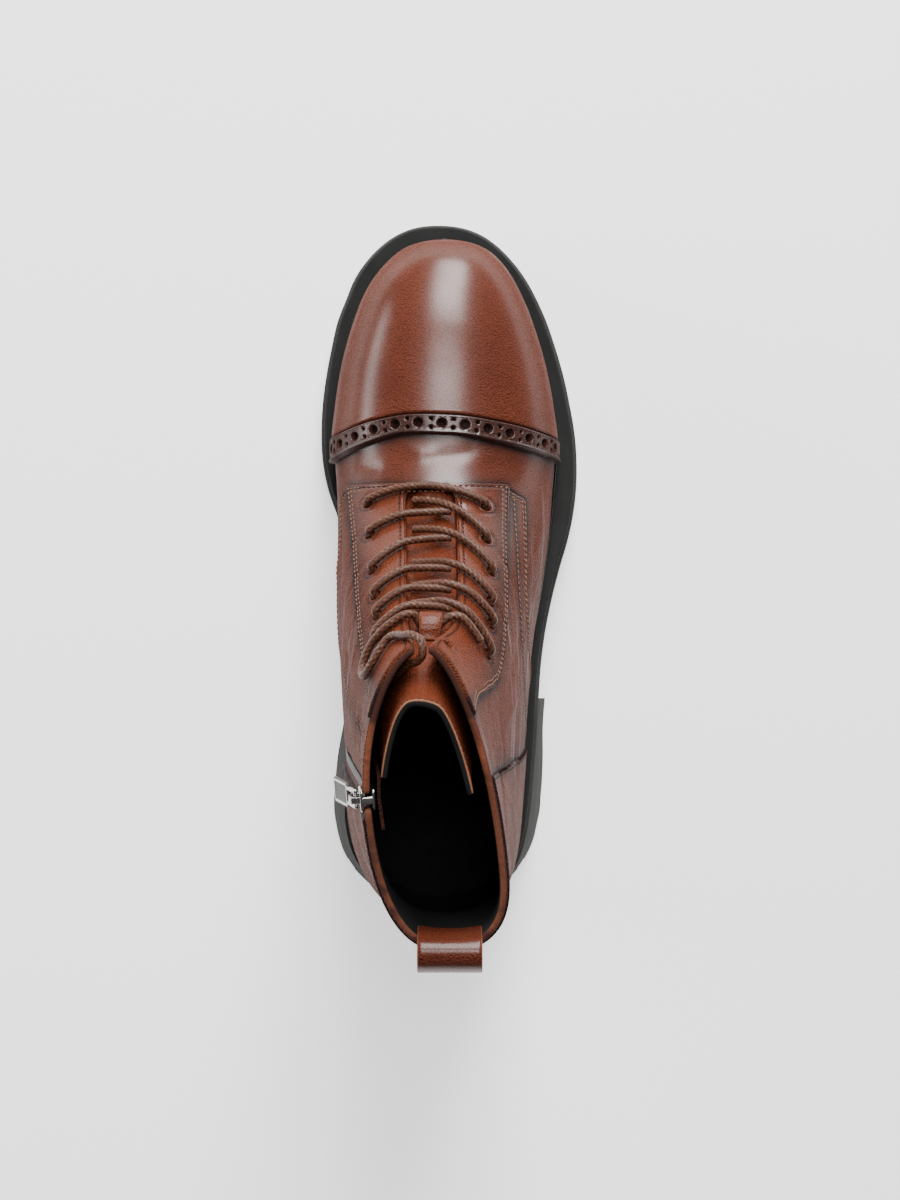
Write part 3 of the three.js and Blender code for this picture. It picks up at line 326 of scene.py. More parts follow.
def face(u, turn):
    """Points of the form: turn runs from -90 degrees low down, over 0 on the outer side, to 90 on top."""
    u, turn = np.broadcast_arrays(np.asarray(u, float), np.asarray(turn, float))
    vy, vz, dy, dz, cv, cd, medial, lateral, hm, hl, pb, pt = np.moveaxis(section(u), -1, 0)
    sine = np.sin(turn)
    cosine = np.cos(turn)
    power = 2 / np.where(sine < 0, pb, pt)
    wide = np.where(cosine < 0, hm, hl)
    up = wide + np.where(sine < 0, wide, 1 - wide) * np.sign(sine) * np.abs(sine) ** power
    out = np.sign(cosine) * np.abs(cosine) ** power
    x = cv + (cd - cv) * up + out * np.where(cosine < 0, medial, lateral)
    y = vy + (dy - vy) * up
    z = vz + (dz - vz) * up
    return np.stack([x * BALL, y * LENGTH, z * HEIGHT], -1)


def unit(v):
    return v / np.maximum(np.linalg.norm(v, axis=-1, keepdims=True), 1e-12)


def normal(u, turn):
    """Outward normals of the form."""
    u, turn = np.broadcast_arrays(np.asarray(u, float), np.asarray(turn, float))
    du = face(np.minimum(u + 0.12, LAST), turn) - face(np.maximum(u - 0.12, 0), turn)
    dt = face(u, turn + 0.05) - face(u, turn - 0.05)
    n = unit(np.cross(dt, du))
    n[u < 1e-6] = (0, 1, 0)
    return n


def skin(u, turn, off=0.0):
    return face(u, turn) + normal(u, turn) * np.asarray(off, float)[..., None]


def turn_at(u, x):
    """Turn, on the top half of section u, of the point at x."""
    u, x = np.broadcast_arrays(np.asarray(u, float), np.asarray(x, float))
    low = np.zeros(u.shape)
    high = np.full(u.shape, math.pi)
    for _ in range(40):
        middle = (low + high) / 2
        right = face(u, middle)[..., 0] > x
        low = np.where(right, middle, low)
        high = np.where(right, high, middle)
    return (low + high) / 2


def on_top(u, x, off):
    return skin(u, turn_at(u, x), off)


def smoothstep(x, low=0.0, high=1.0):
    t = np.clip((np.asarray(x, float) - low) / (high - low), 0, 1)
    return t * t * (3 - 2 * t)


def monotone(xs, values, x):
    """Monotone cubic through a table's column."""
    slope = np.diff(values) / np.diff(xs)
    tangent = np.concatenate([[slope[0]], np.zeros(len(xs) - 2), [slope[-1]]])
    same = slope[:-1] * slope[1:] > 0
    both = np.where(same, slope[:-1] + slope[1:], 1)
    tangent[1:-1] = np.where(same, 2 * slope[:-1] * slope[1:] / both, 0)
    x = np.clip(x, xs[0], xs[-1])
    i = np.clip(np.searchsorted(xs, x, side="right") - 1, 0, len(xs) - 2)
    h = xs[i + 1] - xs[i]
    t = (x - xs[i]) / h
    start = values[i] * (1 + 2 * t) * (1 - t) ** 2 + h * tangent[i] * t * (1 - t) ** 2
    end = values[i + 1] * t * t * (3 - 2 * t) + h * tangent[i + 1] * t * t * (t - 1)
    return start + end


def sole_top(y):
    return monotone(PROFILE["y"], PROFILE["top"], np.asarray(y) / LENGTH) * HEIGHT


def sole_ground(y):
    return monotone(PROFILE["y"], PROFILE["ground"], np.asarray(y) / LENGTH) * HEIGHT


def collar_z(y):
    return HEIGHT * (0.972 + 0.035 * smoothstep(np.asarray(y) / LENGTH, 0.02, 0.26))


# The form laid flat, for cutting panels: across is the length round a section from its top
TURNS = np.radians(
    np.concatenate([90 * k + 90 * smoothstep(np.arange(44) / 44) for k in range(-1, 5)] + [[450]])
)
US = np.linspace(0, LAST, 20 * LAST + 1)
GRID = face(US[:, None], TURNS[None, :])
ACROSS = np.pad(np.cumsum(np.linalg.norm(np.diff(GRID, axis=1), axis=2), axis=1), ((0, 0), (1, 0)))
ACROSS -= ACROSS[:, [88]]
AHEAD = np.linalg.norm(np.diff(GRID[:, 44:133], axis=0), axis=2).mean(1)
AHEAD = np.concatenate([[0], np.cumsum(AHEAD)])


def flat(u, turn):
    """Flat coordinates, nearly true to length."""
    i = np.clip(u / US[1], 0, len(US) - 1.001)
    k = i.astype(int)
    f = i - k
    j = np.clip(np.searchsorted(TURNS, turn, side="right") - 1, 0, len(TURNS) - 2)
    g = (turn - TURNS[j]) / (TURNS[j + 1] - TURNS[j])
    low = ACROSS[k, j] * (1 - g) + ACROSS[k, j + 1] * g
    high = ACROSS[k + 1, j] * (1 - g) + ACROSS[k + 1, j + 1] * g
    return np.stack([low * (1 - f) + high * f, np.interp(u, US, AHEAD)], -1)


def settle(u, turn, targets, rounds=5):
    """Moves places along the form to come nearest to the targets."""
    for _ in range(rounds):
        ju = (face(np.minimum(u + 0.02, LAST), turn) - face(np.maximum(u - 0.02, 0), turn)) / 0.04
        jt = (face(u, turn + 0.012) - face(u, turn - 0.012)) / 0.024
        miss = targets - face(u, turn)
        uu = (ju * ju).sum(-1)
        tt = (jt * jt).sum(-1)
        ut = (ju * jt).sum(-1)
        mu = (ju * miss).sum(-1)
        mt = (jt * miss).sum(-1)
        whole = np.maximum(uu * tt - ut * ut, 1e-9)
        u = np.clip(u + 0.8 * (tt * mu - ut * mt) / whole, 0, LAST)
        turn = turn + np.clip(0.8 * (uu * mt - ut * mu) / whole, -0.2, 0.2)
    return u, turn


def contours(level, low=-90, high=270, first=0.0, last=LAST):
    """Closed lines of (u, turn) around where level(points) is above 0, the longest first."""
    rows = np.flatnonzero((US >= first - 1e-9) & (US <= last + 1e-9))
    cols = np.flatnonzero((TURNS >= math.radians(low) - 1e-9) & (TURNS <= math.radians(high) + 1e-9))
    us = US[rows[[0, *range(len(rows)), -1]]]
    ts = TURNS[cols[[0, *range(len(cols)), -1]]]
    values = np.pad(level(GRID[np.ix_(rows, cols)]), 1, constant_values=-1e9)
    places = {}
    cells = set()
    for kind, (di, dj) in enumerate(((1, 0), (0, 1))):
        a = values[: len(us) - di, : len(ts) - dj]
        b = values[di:, dj:]
        for i, j in np.argwhere((a > 0) != (b > 0)):
            share = a[i, j] / (a[i, j] - b[i, j])
            u = us[i] + share * (us[i + di] - us[i])
            places[kind, i, j] = (u, ts[j] + share * (ts[j + dj] - ts[j]))
            cells.update([(i, j), (i - kind, j - 1 + kind)])
    links = {key: [] for key in places}
    for i, j in cells:
        sides = [key for key in ((0, i, j), (1, i, j), (0, i, j + 1), (1, i + 1, j)) if key in places]
        for a, b in zip(sides[::2], sides[1::2]):
            links[a].append(b)
            links[b].append(a)
    found = []
    left = set(places)
    while left:
        here = min(left)
        chain = []
        while here is not None:
            chain.append(places[here])
            left.discard(here)
            here = next((key for key in links[here] if key in left), None)
        found.append(np.array(chain))
    return sorted(found, key=lambda c: -length_of(face(*c.T)))


def length_of(points):
    return np.linalg.norm(np.diff(points, axis=0), axis=1).sum()


def spaced(line, step, closed=False):
    """A line of (u, turn) with its points an even step apart."""
    if closed:
        line = np.vstack([line, line[:1]])
    at = np.concatenate([[0], np.cumsum(np.linalg.norm(np.diff(face(*line.T), axis=0), axis=1))])
    count = max(int(round(at[-1] / step)), 2)
    wanted = np.linspace(0, at[-1], count + 1)
    if closed:
        wanted = wanted[:-1]
    return np.stack([np.interp(wanted, at, line[:, k]) for k in (0, 1)], -1)


def soft(line, rounds, closed=True):
    """Rounds the corners of an evenly spaced line."""
    for _ in range(rounds):
        if closed:
            line = (np.roll(line, 1, 0) + 2 * line + np.roll(line, -1, 0)) / 4
        else:
            line = np.vstack([line[:1], (line[:-2] + 2 * line[1:-1] + line[2:]) / 4, line[-1:]])
    return line


def nearest(points, line):
    """Distance from each point to a dense line of points, and the place on it."""
    tree = kdtree.KDTree(len(line))
    for i, p in enumerate(line):
        tree.insert(p, i)
    tree.balance()
    found = [tree.find(p) for p in points]
    return np.array([f[2] for f in found]), np.array([f[1] for f in found])


def fill(plane, counts):
    """Triangles between points of a plane, inside the closed loops that its first points make."""
    edges = []
    start = 0
    crossed = []
    for count in counts:
        ids = np.arange(start, start + count)
        edges.extend(np.stack([ids, np.roll(ids, -1)], -1).tolist())
        crossed.append(np.hstack([plane[ids], plane[np.roll(ids, -1)]]))
        start += count
    made = delaunay_2d_cdt([Vector(p) for p in plane], edges, [], 0, 1e-4, True)
    triangles = np.array(made[2])
    middles = np.array([tuple(v) for v in made[0]])[triangles].mean(1)
    order = np.argsort(middles[:, 1])
    x, y = middles[order].T
    inside = np.zeros(len(order), bool)
    for x1, y1, x2, y2 in np.vstack(crossed):
        if y1 != y2:
            low, high = np.searchsorted(y, sorted((y1, y2)))
            inside[low:high] ^= x[low:high] < x1 + (y[low:high] - y1) * (x2 - x1) / (y2 - y1)
    source = np.array([ids[0] if ids else -1 for ids in made[3]])
    triangles = source[triangles[order[inside]]]
    return triangles[(triangles >= 0).all(1)]


# Making meshes
def make(name, points, groups, materials, values=None, body="boot", slot=None, replaces=(), sharp=50):
    """A smooth mesh. groups are (faces, material number); values are numbers for each point."""
    mesh = bpy.data.meshes.new(name)
    points = np.asarray(points, float) * MM
    mesh.vertices.add(len(points))
    mesh.vertices.foreach_set("co", points.ravel())
    corners = np.concatenate([np.asarray(faces).ravel() for faces, _ in groups])
    counts = np.concatenate([np.full(len(faces), np.shape(faces)[1]) for faces, _ in groups])
    kinds = np.concatenate([np.full(len(faces), kind) for faces, kind in groups])
    mesh.loops.add(len(corners))
    mesh.loops.foreach_set("vertex_index", corners.astype(np.int32))
    mesh.polygons.add(len(counts))
    mesh.polygons.foreach_set("loop_start", np.concatenate([[0], np.cumsum(counts)[:-1]]).astype(np.int32))
    mesh.polygons.foreach_set("material_index", kinds.astype(np.int32))
    mesh.polygons.foreach_set("use_smooth", np.ones(len(counts), bool))
    mesh.update(calc_edges=True)
    mesh.validate()
    for material in materials:
        mesh.materials.append(material)
    for key, numbers in (values or {}).items():
        layer = mesh.attributes.new(key, "FLOAT", "POINT")
        layer.data.foreach_set("value", np.asarray(numbers, np.float32))
    mesh.set_sharp_from_angle(angle=math.radians(sharp))
    piece = bpy.data.objects.new(name, mesh)
    bpy.context.scene.collection.objects.link(piece)
    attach(piece, body)
    if replaces:
        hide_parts(*replaces)
    return piece


def edges_of(triangles):
    """Directed edges that only one triangle has."""
    edges = np.vstack([triangles[:, [0, 1]], triangles[:, [1, 2]], triangles[:, [2, 0]]])
    top = triangles.max() + 1
    forward = edges[:, 0] * top + edges[:, 1]
    backward = edges[:, 1] * top + edges[:, 0]
    return edges[~np.isin(forward, backward)]


def rim_of(points, normals, edges):
    """Outward directions in the sheet at its edge points."""
    sideways = np.zeros_like(points)
    way = unit(np.cross(points[edges[:, 1]] - points[edges[:, 0]], normals[edges[:, 0]]))
    np.add.at(sideways, edges[:, 0], way)
    np.add.at(sideways, edges[:, 1], way)
    return unit(sideways)


def sheet_mesh(points, normals, triangles, top, under, bulge, turned=2):
    """Closes a sheet with a face at top, one at under, and a rounded rim between them."""
    n = len(points)
    edges = edges_of(triangles)
    sideways = rim_of(points, normals, edges)
    high = points + normals * top[:, None]
    low = points + normals * under[:, None]
    inner = [high]
    for k in range(1, turned + 1):
        angle = math.pi * k / (turned + 1)
        middle = (high + low) / 2 + (high - low) / 2 * math.cos(angle)
        inner.append(middle + sideways * bulge * math.sin(angle))
    inner.append(low)
    rim = []
    used = np.unique(edges)
    slots = np.full(n, -1)
    slots[used] = np.arange(len(used))
    stack = [high, low] + [ring[used] for ring in inner[1:-1]]
    starts = [None] + [2 * n + len(used) * k for k in range(turned)] + [None]

    def index(ring, ids):
        if ring == 0:
            return ids
        if ring == turned + 1:
            return ids + n
        return starts[ring] + slots[ids]

    for ring in range(turned + 1):
        a, b = edges[:, 0], edges[:, 1]
        rim.append(np.stack([index(ring, b), index(ring, a), index(ring + 1, a), index(ring + 1, b)], -1))
    groups = [(triangles, 0), (triangles[:, ::-1] + n, 2), (np.vstack(rim), 1)]
    return np.vstack(stack), groups, used


# Creases, listed one by one
def crease_lines():
    """Soft folds as (u, turn in degrees) lines with a width and a depth."""
    return [
        ([(7.15, 70), (7.35, 84), (7.4, 98)], 2.6, -0.5),
        ([(7.0, 112), (7.25, 100), (7.3, 88)], 2.2, 0.35),
        ([(7.7, 45), (7.55, 58), (7.65, 68)], 2.4, -0.45),
        ([(7.6, 140), (7.55, 128), (7.7, 120)], 2.4, -0.4),
        ([(8.6, 160), (9.6, 154), (10.8, 152)], 2.4, -0.6),
        ([(9.6, 166), (10.4, 160), (11.6, 158)], 2.2, 0.4),
        ([(8.7, 20), (9.8, 26), (11.0, 28)], 2.6, -0.55),
        ([(10.2, 12), (11.4, 18), (12.6, 22)], 2.4, 0.4),
        ([(12.0, 26), (13.2, 30), (14.4, 33)], 2.6, -0.6),
        ([(13.4, 20), (14.4, 26), (15.4, 30)], 2.4, 0.45),
        ([(12.0, 154), (13.2, 149), (14.6, 146)], 2.6, -0.65),
        ([(13.4, 163), (14.4, 156), (15.6, 151)], 2.4, 0.45),
        ([(14.6, 168), (15.6, 160), (16.6, 154)], 2.6, -0.6),
        ([(14.8, 12), (15.8, 20), (16.8, 26)], 2.8, -0.6),
        ([(15.9, 4), (16.7, 12), (17.8, 20)], 2.6, 0.4),
        ([(16.6, -16), (17.4, -2), (18.4, 8)], 3.2, -0.45),
        ([(16.8, 192), (17.6, 178), (18.6, 168)], 3.2, -0.4),
        ([(15.8, -60), (16.2, -40), (16.1, -20)], 4.0, -0.5),
        ([(15.5, 36), (15.9, 28), (16.2, 18)], 1.1, -0.5),
        ([(15.9, 38), (16.3, 29), (16.7, 19)], 1.0, 0.4),
        ([(16.3, 39), (16.8, 30), (17.2, 20)], 1.1, -0.5),
        ([(16.8, 38), (17.3, 29), (17.7, 18)], 1.0, 0.4),
        ([(17.6, 26), (17.9, 16), (18.6, 8)], 1.3, -0.5),
        ([(18.1, 20), (18.5, 10), (19.2, 2)], 1.2, 0.4),
        ([(18.6, 14), (18.9, 4), (19.6, -4)], 1.3, -0.45),
        ([(15.2, 143), (15.7, 150), (16.1, 158)], 1.1, -0.5),
        ([(15.7, 142), (16.2, 149), (16.6, 158)], 1.0, 0.4),
        ([(16.2, 142), (16.7, 150), (17.1, 160)], 1.2, -0.5),
        ([(9.4, 125), (9.9, 137), (10.3, 149)], 1.2, -0.35),
        ([(10.6, 122), (11.2, 136), (11.6, 150)], 1.2, -0.4),
        ([(11.9, 122), (12.5, 136), (12.9, 150)], 1.2, -0.4),
        ([(12.9, 122), (13.5, 136), (14.0, 150)], 1.2, 0.35),
        ([(10.2, 60), (10.8, 48), (11.2, 38)], 1.2, -0.35),
        ([(12.0, 60), (12.6, 48), (13.0, 38)], 1.2, -0.35),
    ]


class Creases:
    """The folds' lines in space, worked out once."""

    def __init__(self):
        self.folds = []
        for places, width, depth in crease_lines():
            places = np.array(places, float)
            t = np.linspace(0, 2, 25)
            line = np.stack([np.interp(t, [0, 1, 2], places[:, k]) for k in (0, 1)], -1)
            line = soft(line, 8, closed=False)
            self.folds.append((face(line[:, 0], np.radians(line[:, 1])), width, depth))

    def rise(self, points):
        total = np.zeros(len(points))
        for line, width, depth in self.folds:
            low = line.min(0) - 3 * width
            high = line.max(0) + 3 * width
            near = np.flatnonzero(((points > low) & (points < high)).all(1))
            if not len(near):
                continue
            away = np.linalg.norm(points[near][:, None] - line[None], axis=2)
            k = away.argmin(1)
            taper = np.sin(np.pi * np.clip(k / (len(line) - 1), 0, 1)) ** 0.6
            total[near] += depth * np.exp(-((away.min(1) / width) ** 2)) * taper
        return total


CREASES = Creases()

# Regions, as levels that are above 0 inside and roughly millimetres
ZIP_WAY = unit(np.array([(ZIP_HEAD[0] - ZIP_FOOT[0]) * LENGTH, (ZIP_HEAD[1] - ZIP_FOOT[1]) * HEIGHT]))


def above_sole(p, lift):
    return p[..., 2] - sole_top(p[..., 1]) - lift


def under_collar(p, drop=0.0):
    return collar_z(p[..., 1]) - drop - p[..., 2]


def cap_line(edge, p):
    return p[..., 1] - monotone(edge["x"], edge["y"], p[..., 0] / BALL) * LENGTH


def between(columns, p, side):
    return monotone(columns["y"], columns[side], p[..., 1] / LENGTH) * BALL


def on_upper_face(p):
    """Above 0 on the instep and the shaft's front, where the throat and the facings are."""
    return np.minimum(p[..., 2] - 0.3 * HEIGHT, p[..., 1] - 0.1 * LENGTH)


def in_throat(p):
    inside = np.minimum(p[..., 0] - between(THROAT, p, "medial"), between(THROAT, p, "lateral") - p[..., 0])
    inside = np.minimum(inside, THROAT["y"][-1] * LENGTH - p[..., 1])
    return np.minimum(inside, on_upper_face(p))


def zip_places(p):
    """Along the zip from its foot, and off its middle towards the toe."""
    y = p[..., 1] - ZIP_FOOT[0] * LENGTH
    z = p[..., 2] - ZIP_FOOT[1] * HEIGHT
    return y * ZIP_WAY[0] + z * ZIP_WAY[1], y * ZIP_WAY[1] - z * ZIP_WAY[0]


def in_zip(p, half, low=0.0):
    along, off = zip_places(p)
    return np.minimum(np.minimum(along - low, half - np.abs(off)), -0.02 * BALL - p[..., 0])


def in_quarter(p):
    y = p[..., 1] / LENGTH
    lateral = monotone(QUARTER_EDGE["y"], QUARTER_EDGE["lateral"], y)
    medial = monotone(QUARTER_EDGE["y"], QUARTER_EDGE["medial"], y)
    edge = np.where(p[..., 0] > 0, lateral, medial) * HEIGHT
    front = monotone(QUARTER_FRONT["x"], QUARTER_FRONT["y"], p[..., 0] / BALL) * LENGTH
    return np.minimum(p[..., 2] - edge, front - p[..., 1])


def in_counter(p):
    y, z = p[..., 1], p[..., 2]
    outer = 0.108 * LENGTH + 0.02 * LENGTH * np.clip(1 - z / (0.45 * HEIGHT), -0.4, 1) - y
    off = zip_places(p)[1]
    inner = np.minimum(0.108 * LENGTH - y, -off - ZIP_CHAIN / 2 - 3.2)
    inside = np.where(p[..., 0] > 0, outer, inner)
    return np.minimum(inside, under_collar(p, 2.0))


def upper_level(p):
    whole = np.minimum(above_sole(p, GAP), under_collar(p))
    whole = np.minimum(whole, -in_throat(p))
    return np.minimum(whole, -in_zip(p, ZIP_CHAIN / 2 + GAP))


def cap_level(p):
    return np.minimum(cap_line(CAP_FRONT, p) - GAP, above_sole(p, 2 * GAP + BEAD_HEIGHT))


def band_level(p):
    inside = np.minimum(cap_line(CAP_REAR, p), -cap_line(CAP_FRONT, p))
    return np.minimum(inside, above_sole(p, 2 * GAP + BEAD_HEIGHT))


def counter_level(p):
    return np.minimum(in_counter(p), above_sole(p, 2 * GAP + BEAD_HEIGHT))


def facing_level(side):
    def level(p):
        x = p[..., 0]
        middle = -0.03 * BALL
        if side == "medial":
            across = np.minimum(x - between(FACING, p, side), middle - GAP - x)
        else:
            across = np.minimum(between(FACING, p, side) - x, x - middle)
        inside = np.minimum(across, FACING_FRONT * LENGTH - p[..., 1])
        inside = np.minimum(np.minimum(inside, under_collar(p)), -in_throat(p))
        return np.minimum(inside, on_upper_face(p))

    return level


class Panel:
    """A piece of leather cut to a region of the form, with a fine mesh."""

    def __init__(
        self, level, low=-90, high=270, first=0.0, last=LAST, holes=(), lines=(), pitch=1.5, edge=0.6,
        rings=(0.18, 0.45, 0.85, 1.4), rounds=2,
    ):
        self.seams = np.radians([low, high])
        loop = contours(level, low, high, first, last)[0]
        loop = self.even(loop, edge, rounds)
        plane = flat(*loop.T)
        turned = np.roll(plane, -1, 0)
        if (plane[:, 0] * turned[:, 1] - plane[:, 1] * turned[:, 0]).sum() < 0:
            loop = loop[::-1]
        self.loop = loop
        self.holes = list(holes)
        free = self.free(loop)
        self.edge_line = np.vstack([face(*loop[free].T)] + [face(*hole.T) for hole in self.holes])
        places = [loop, *self.holes]
        counts = [len(p) for p in places]
        extra = []
        for ring_loop in places:
            keep = self.free(ring_loop)
            for d in rings:
                ring = self.offset(ring_loop, d)[keep]
                extra.append((ring, 0.86 * d))
        if lines:
            line_points = np.vstack([face(*line.T) for line in lines])
            for line in lines:
                for d in (-0.7, -0.3, -0.08, 0.08, 0.3, 0.7):
                    extra.append((self.offset(line, d, closed=False), 0.5))
        for ring, clear in extra:
            away, _ = nearest(face(*ring.T), self.edge_line)
            good = (away > clear) & (level(face(*ring.T)) > 0)
            places.append(ring[good])
        grid = self.inner_grid(level, low, high, first, last, pitch)
        away, _ = nearest(face(*grid.T), self.edge_line)
        good = away > max(rings, default=0) + 0.45 * pitch
        if lines:
            away, _ = nearest(face(*grid.T), line_points)
            good &= away > 0.7 + 0.35 * pitch
        places.append(grid[good])
        every = np.vstack(places)
        triangles = fill(flat(*every.T), counts)
        every_points = face(*every.T)
        rounded = np.round(every_points, 3)
        _, first_of, same = np.unique(rounded, axis=0, return_index=True, return_inverse=True)
        triangles = first_of[same.ravel()][triangles]
        whole = (triangles[:, 0] != triangles[:, 1]) & (triangles[:, 1] != triangles[:, 2])
        triangles = triangles[whole & (triangles[:, 0] != triangles[:, 2])]
        used, triangles = np.unique(triangles, return_inverse=True)
        self.triangles = triangles.reshape(-1, 3)
        self.u, self.turn = every[used].T
        self.points = every_points[used]
        self.normals = normal(self.u, self.turn)
        self.away, _ = nearest(self.points, self.edge_line)

    def free(self, loop):
        """Where a loop isn't on the seam that closes the form."""
        return (np.abs(loop[:, 1] - self.seams[0]) > 1e-7) & (np.abs(loop[:, 1] - self.seams[1]) > 1e-7)

    def even(self, loop, step, rounds):
        free = self.free(loop)
        if free.all():
            return soft(spaced(loop, step, closed=True), rounds)
        start = int(np.flatnonzero(~free)[0])
        loop = np.roll(loop, -start, 0)
        free = np.roll(free, -start)
        loop = np.vstack([loop, loop[:1]])
        free = np.append(free, False)
        made = []
        i = 0
        while i < len(loop) - 1:
            made.append(loop[i : i + 1])
            j = i + 1
            while free[j]:
                j += 1
            if j > i + 1:
                run = spaced(loop[i : j + 1], step)
                made.append(soft(run, rounds, closed=False)[1:-1])
            i = j
        return np.vstack(made)

    @staticmethod
    def offset(line, d, closed=True):
        """A line moved d into the region on its left."""
        points = face(*line.T)
        if closed:
            ahead = np.roll(points, -1, 0) - np.roll(points, 1, 0)
        else:
            ahead = np.gradient(points, axis=0)
        way = unit(np.cross(normal(*line.T), ahead))
        return np.stack(settle(line[:, 0], line[:, 1], points + way * d), -1)

    @staticmethod
    def inner_grid(level, low, high, first, last, pitch):
        rows = []
        heights = np.arange(np.interp(first, US, AHEAD), np.interp(last, US, AHEAD), pitch * 0.87)
        for k, height in enumerate(heights):
            u = np.interp(height, AHEAD, US)
            i = min(int(u / US[1]), len(US) - 2)
            f = u / US[1] - i
            across = ACROSS[i] * (1 - f) + ACROSS[i + 1] * f
            ends = np.interp(np.radians([low, high]), TURNS, across)
            at = np.arange(math.ceil(ends[0] / pitch), ends[1] / pitch) * pitch + (k % 2) * pitch / 2
            rows.append(np.stack([np.full(len(at), u), np.interp(at, across, TURNS)], -1))
        grid = np.vstack(rows)
        return grid[level(face(*grid.T)) > 0]

    def inset_line(self, d, keep=None):
        """The parts of the outline moved in by d, in runs, for stitches."""
        line = self.offset(self.loop, d)
        points = face(*line.T)
        away, _ = nearest(points, self.edge_line)
        good = (away > 0.93 * d) & self.free(self.loop)
        if keep is not None:
            good &= keep(points)
        runs = []
        if good.all():
            return [np.vstack([line, line[:1]])]
        start = int(np.flatnonzero(~good)[0])
        line = np.roll(line, -start, 0)
        good = np.roll(good, -start)
        run = []
        for place, fine in zip(line, good):
            if fine:
                run.append(place)
            elif run:
                runs.append(np.array(run))
                run = []
        if run:
            runs.append(np.array(run))
        return [r for r in runs if len(r) > 6]

    def build(self, name, top, under, materials, values, bulge=0.12, **words):
        rise = CREASES.rise(self.points)
        values = {"polish": polished(self.normals), **values}
        points, groups, used = sheet_mesh(
            self.points, self.normals, self.triangles, top + rise, under + rise, bulge
        )
        spread = {}
        for key, numbers in values.items():
            rings = (len(points) - 2 * len(self.points)) // max(len(used), 1)
            spread[key] = np.concatenate([numbers, numbers] + [numbers[used]] * rings)
        return make(name, points, groups, materials, spread, **words)


def polished(normals):
    """Polish gathers where the leather faces up."""
    return 0.03 + 0.97 * smoothstep(normals[:, 2], 0.4, 0.9)


def round_edge(away, high, radius=0.9, grooves=(), depth=0.22):
    """Height of a panel's face: rounded at its edge, with a groove along each stitch row."""
    t = np.clip(away / radius, 0, 1)
    rise = high * (0.12 + 0.88 * np.sqrt(1 - (1 - t) ** 2))
    for at in grooves:
        rise = rise - depth * np.exp(-(((away - at) / 0.42) ** 2))
    return rise


def circle(u, turn, diameter, count=14):
    """A round hole's edge, clockwise so that the leather is on its left."""
    u = np.full(count, float(u))
    turn = np.full(count, float(turn))
    centre = face(u, turn)
    n = normal(u, turn)
    side = unit(np.cross(n, np.array([0.0, 0.0, 1.0]) + 0 * n))
    up = np.cross(n, side)
    angle = -np.linspace(0, 2 * math.pi, count, endpoint=False)[:, None]
    rim = centre + (side * np.cos(angle) + up * np.sin(angle)) * diameter / 2
    return np.stack(settle(u, turn, rim), -1)


# Shader maths on sockets
class Value:
    """A number that varies over a surface."""

    def __init__(self, nodes, socket):
        self.nodes = nodes
        self.socket = socket

    def maths(self, operation, *others):
        return Value(self.nodes, self.nodes.add("ShaderNodeMath", {"operation": operation}, self, *others))

    def __add__(self, other):
        return self.maths("ADD", other)

    __radd__ = __add__

    def __sub__(self, other):
        return self.maths("SUBTRACT", other)

    def __rsub__(self, other):
        return (self * -1) + other

    def __mul__(self, other):
        return self.maths("MULTIPLY", other)

    __rmul__ = __mul__

    def __pow__(self, other):
        return self.maths("POWER", other)

    def top(self, other):
        return self.maths("MAXIMUM", other)

    def clamp(self):
        return self.maths("MINIMUM", 1.0).maths("MAXIMUM", 0.0)

    def step(self, low, high):
        """Smooth 0 to 1 between low and high."""
        made = self.nodes.add(
            "ShaderNodeMapRange", {"interpolation_type": "SMOOTHSTEP"}, self, low, high, 0.0, 1.0
        )
        return Value(self.nodes, made)


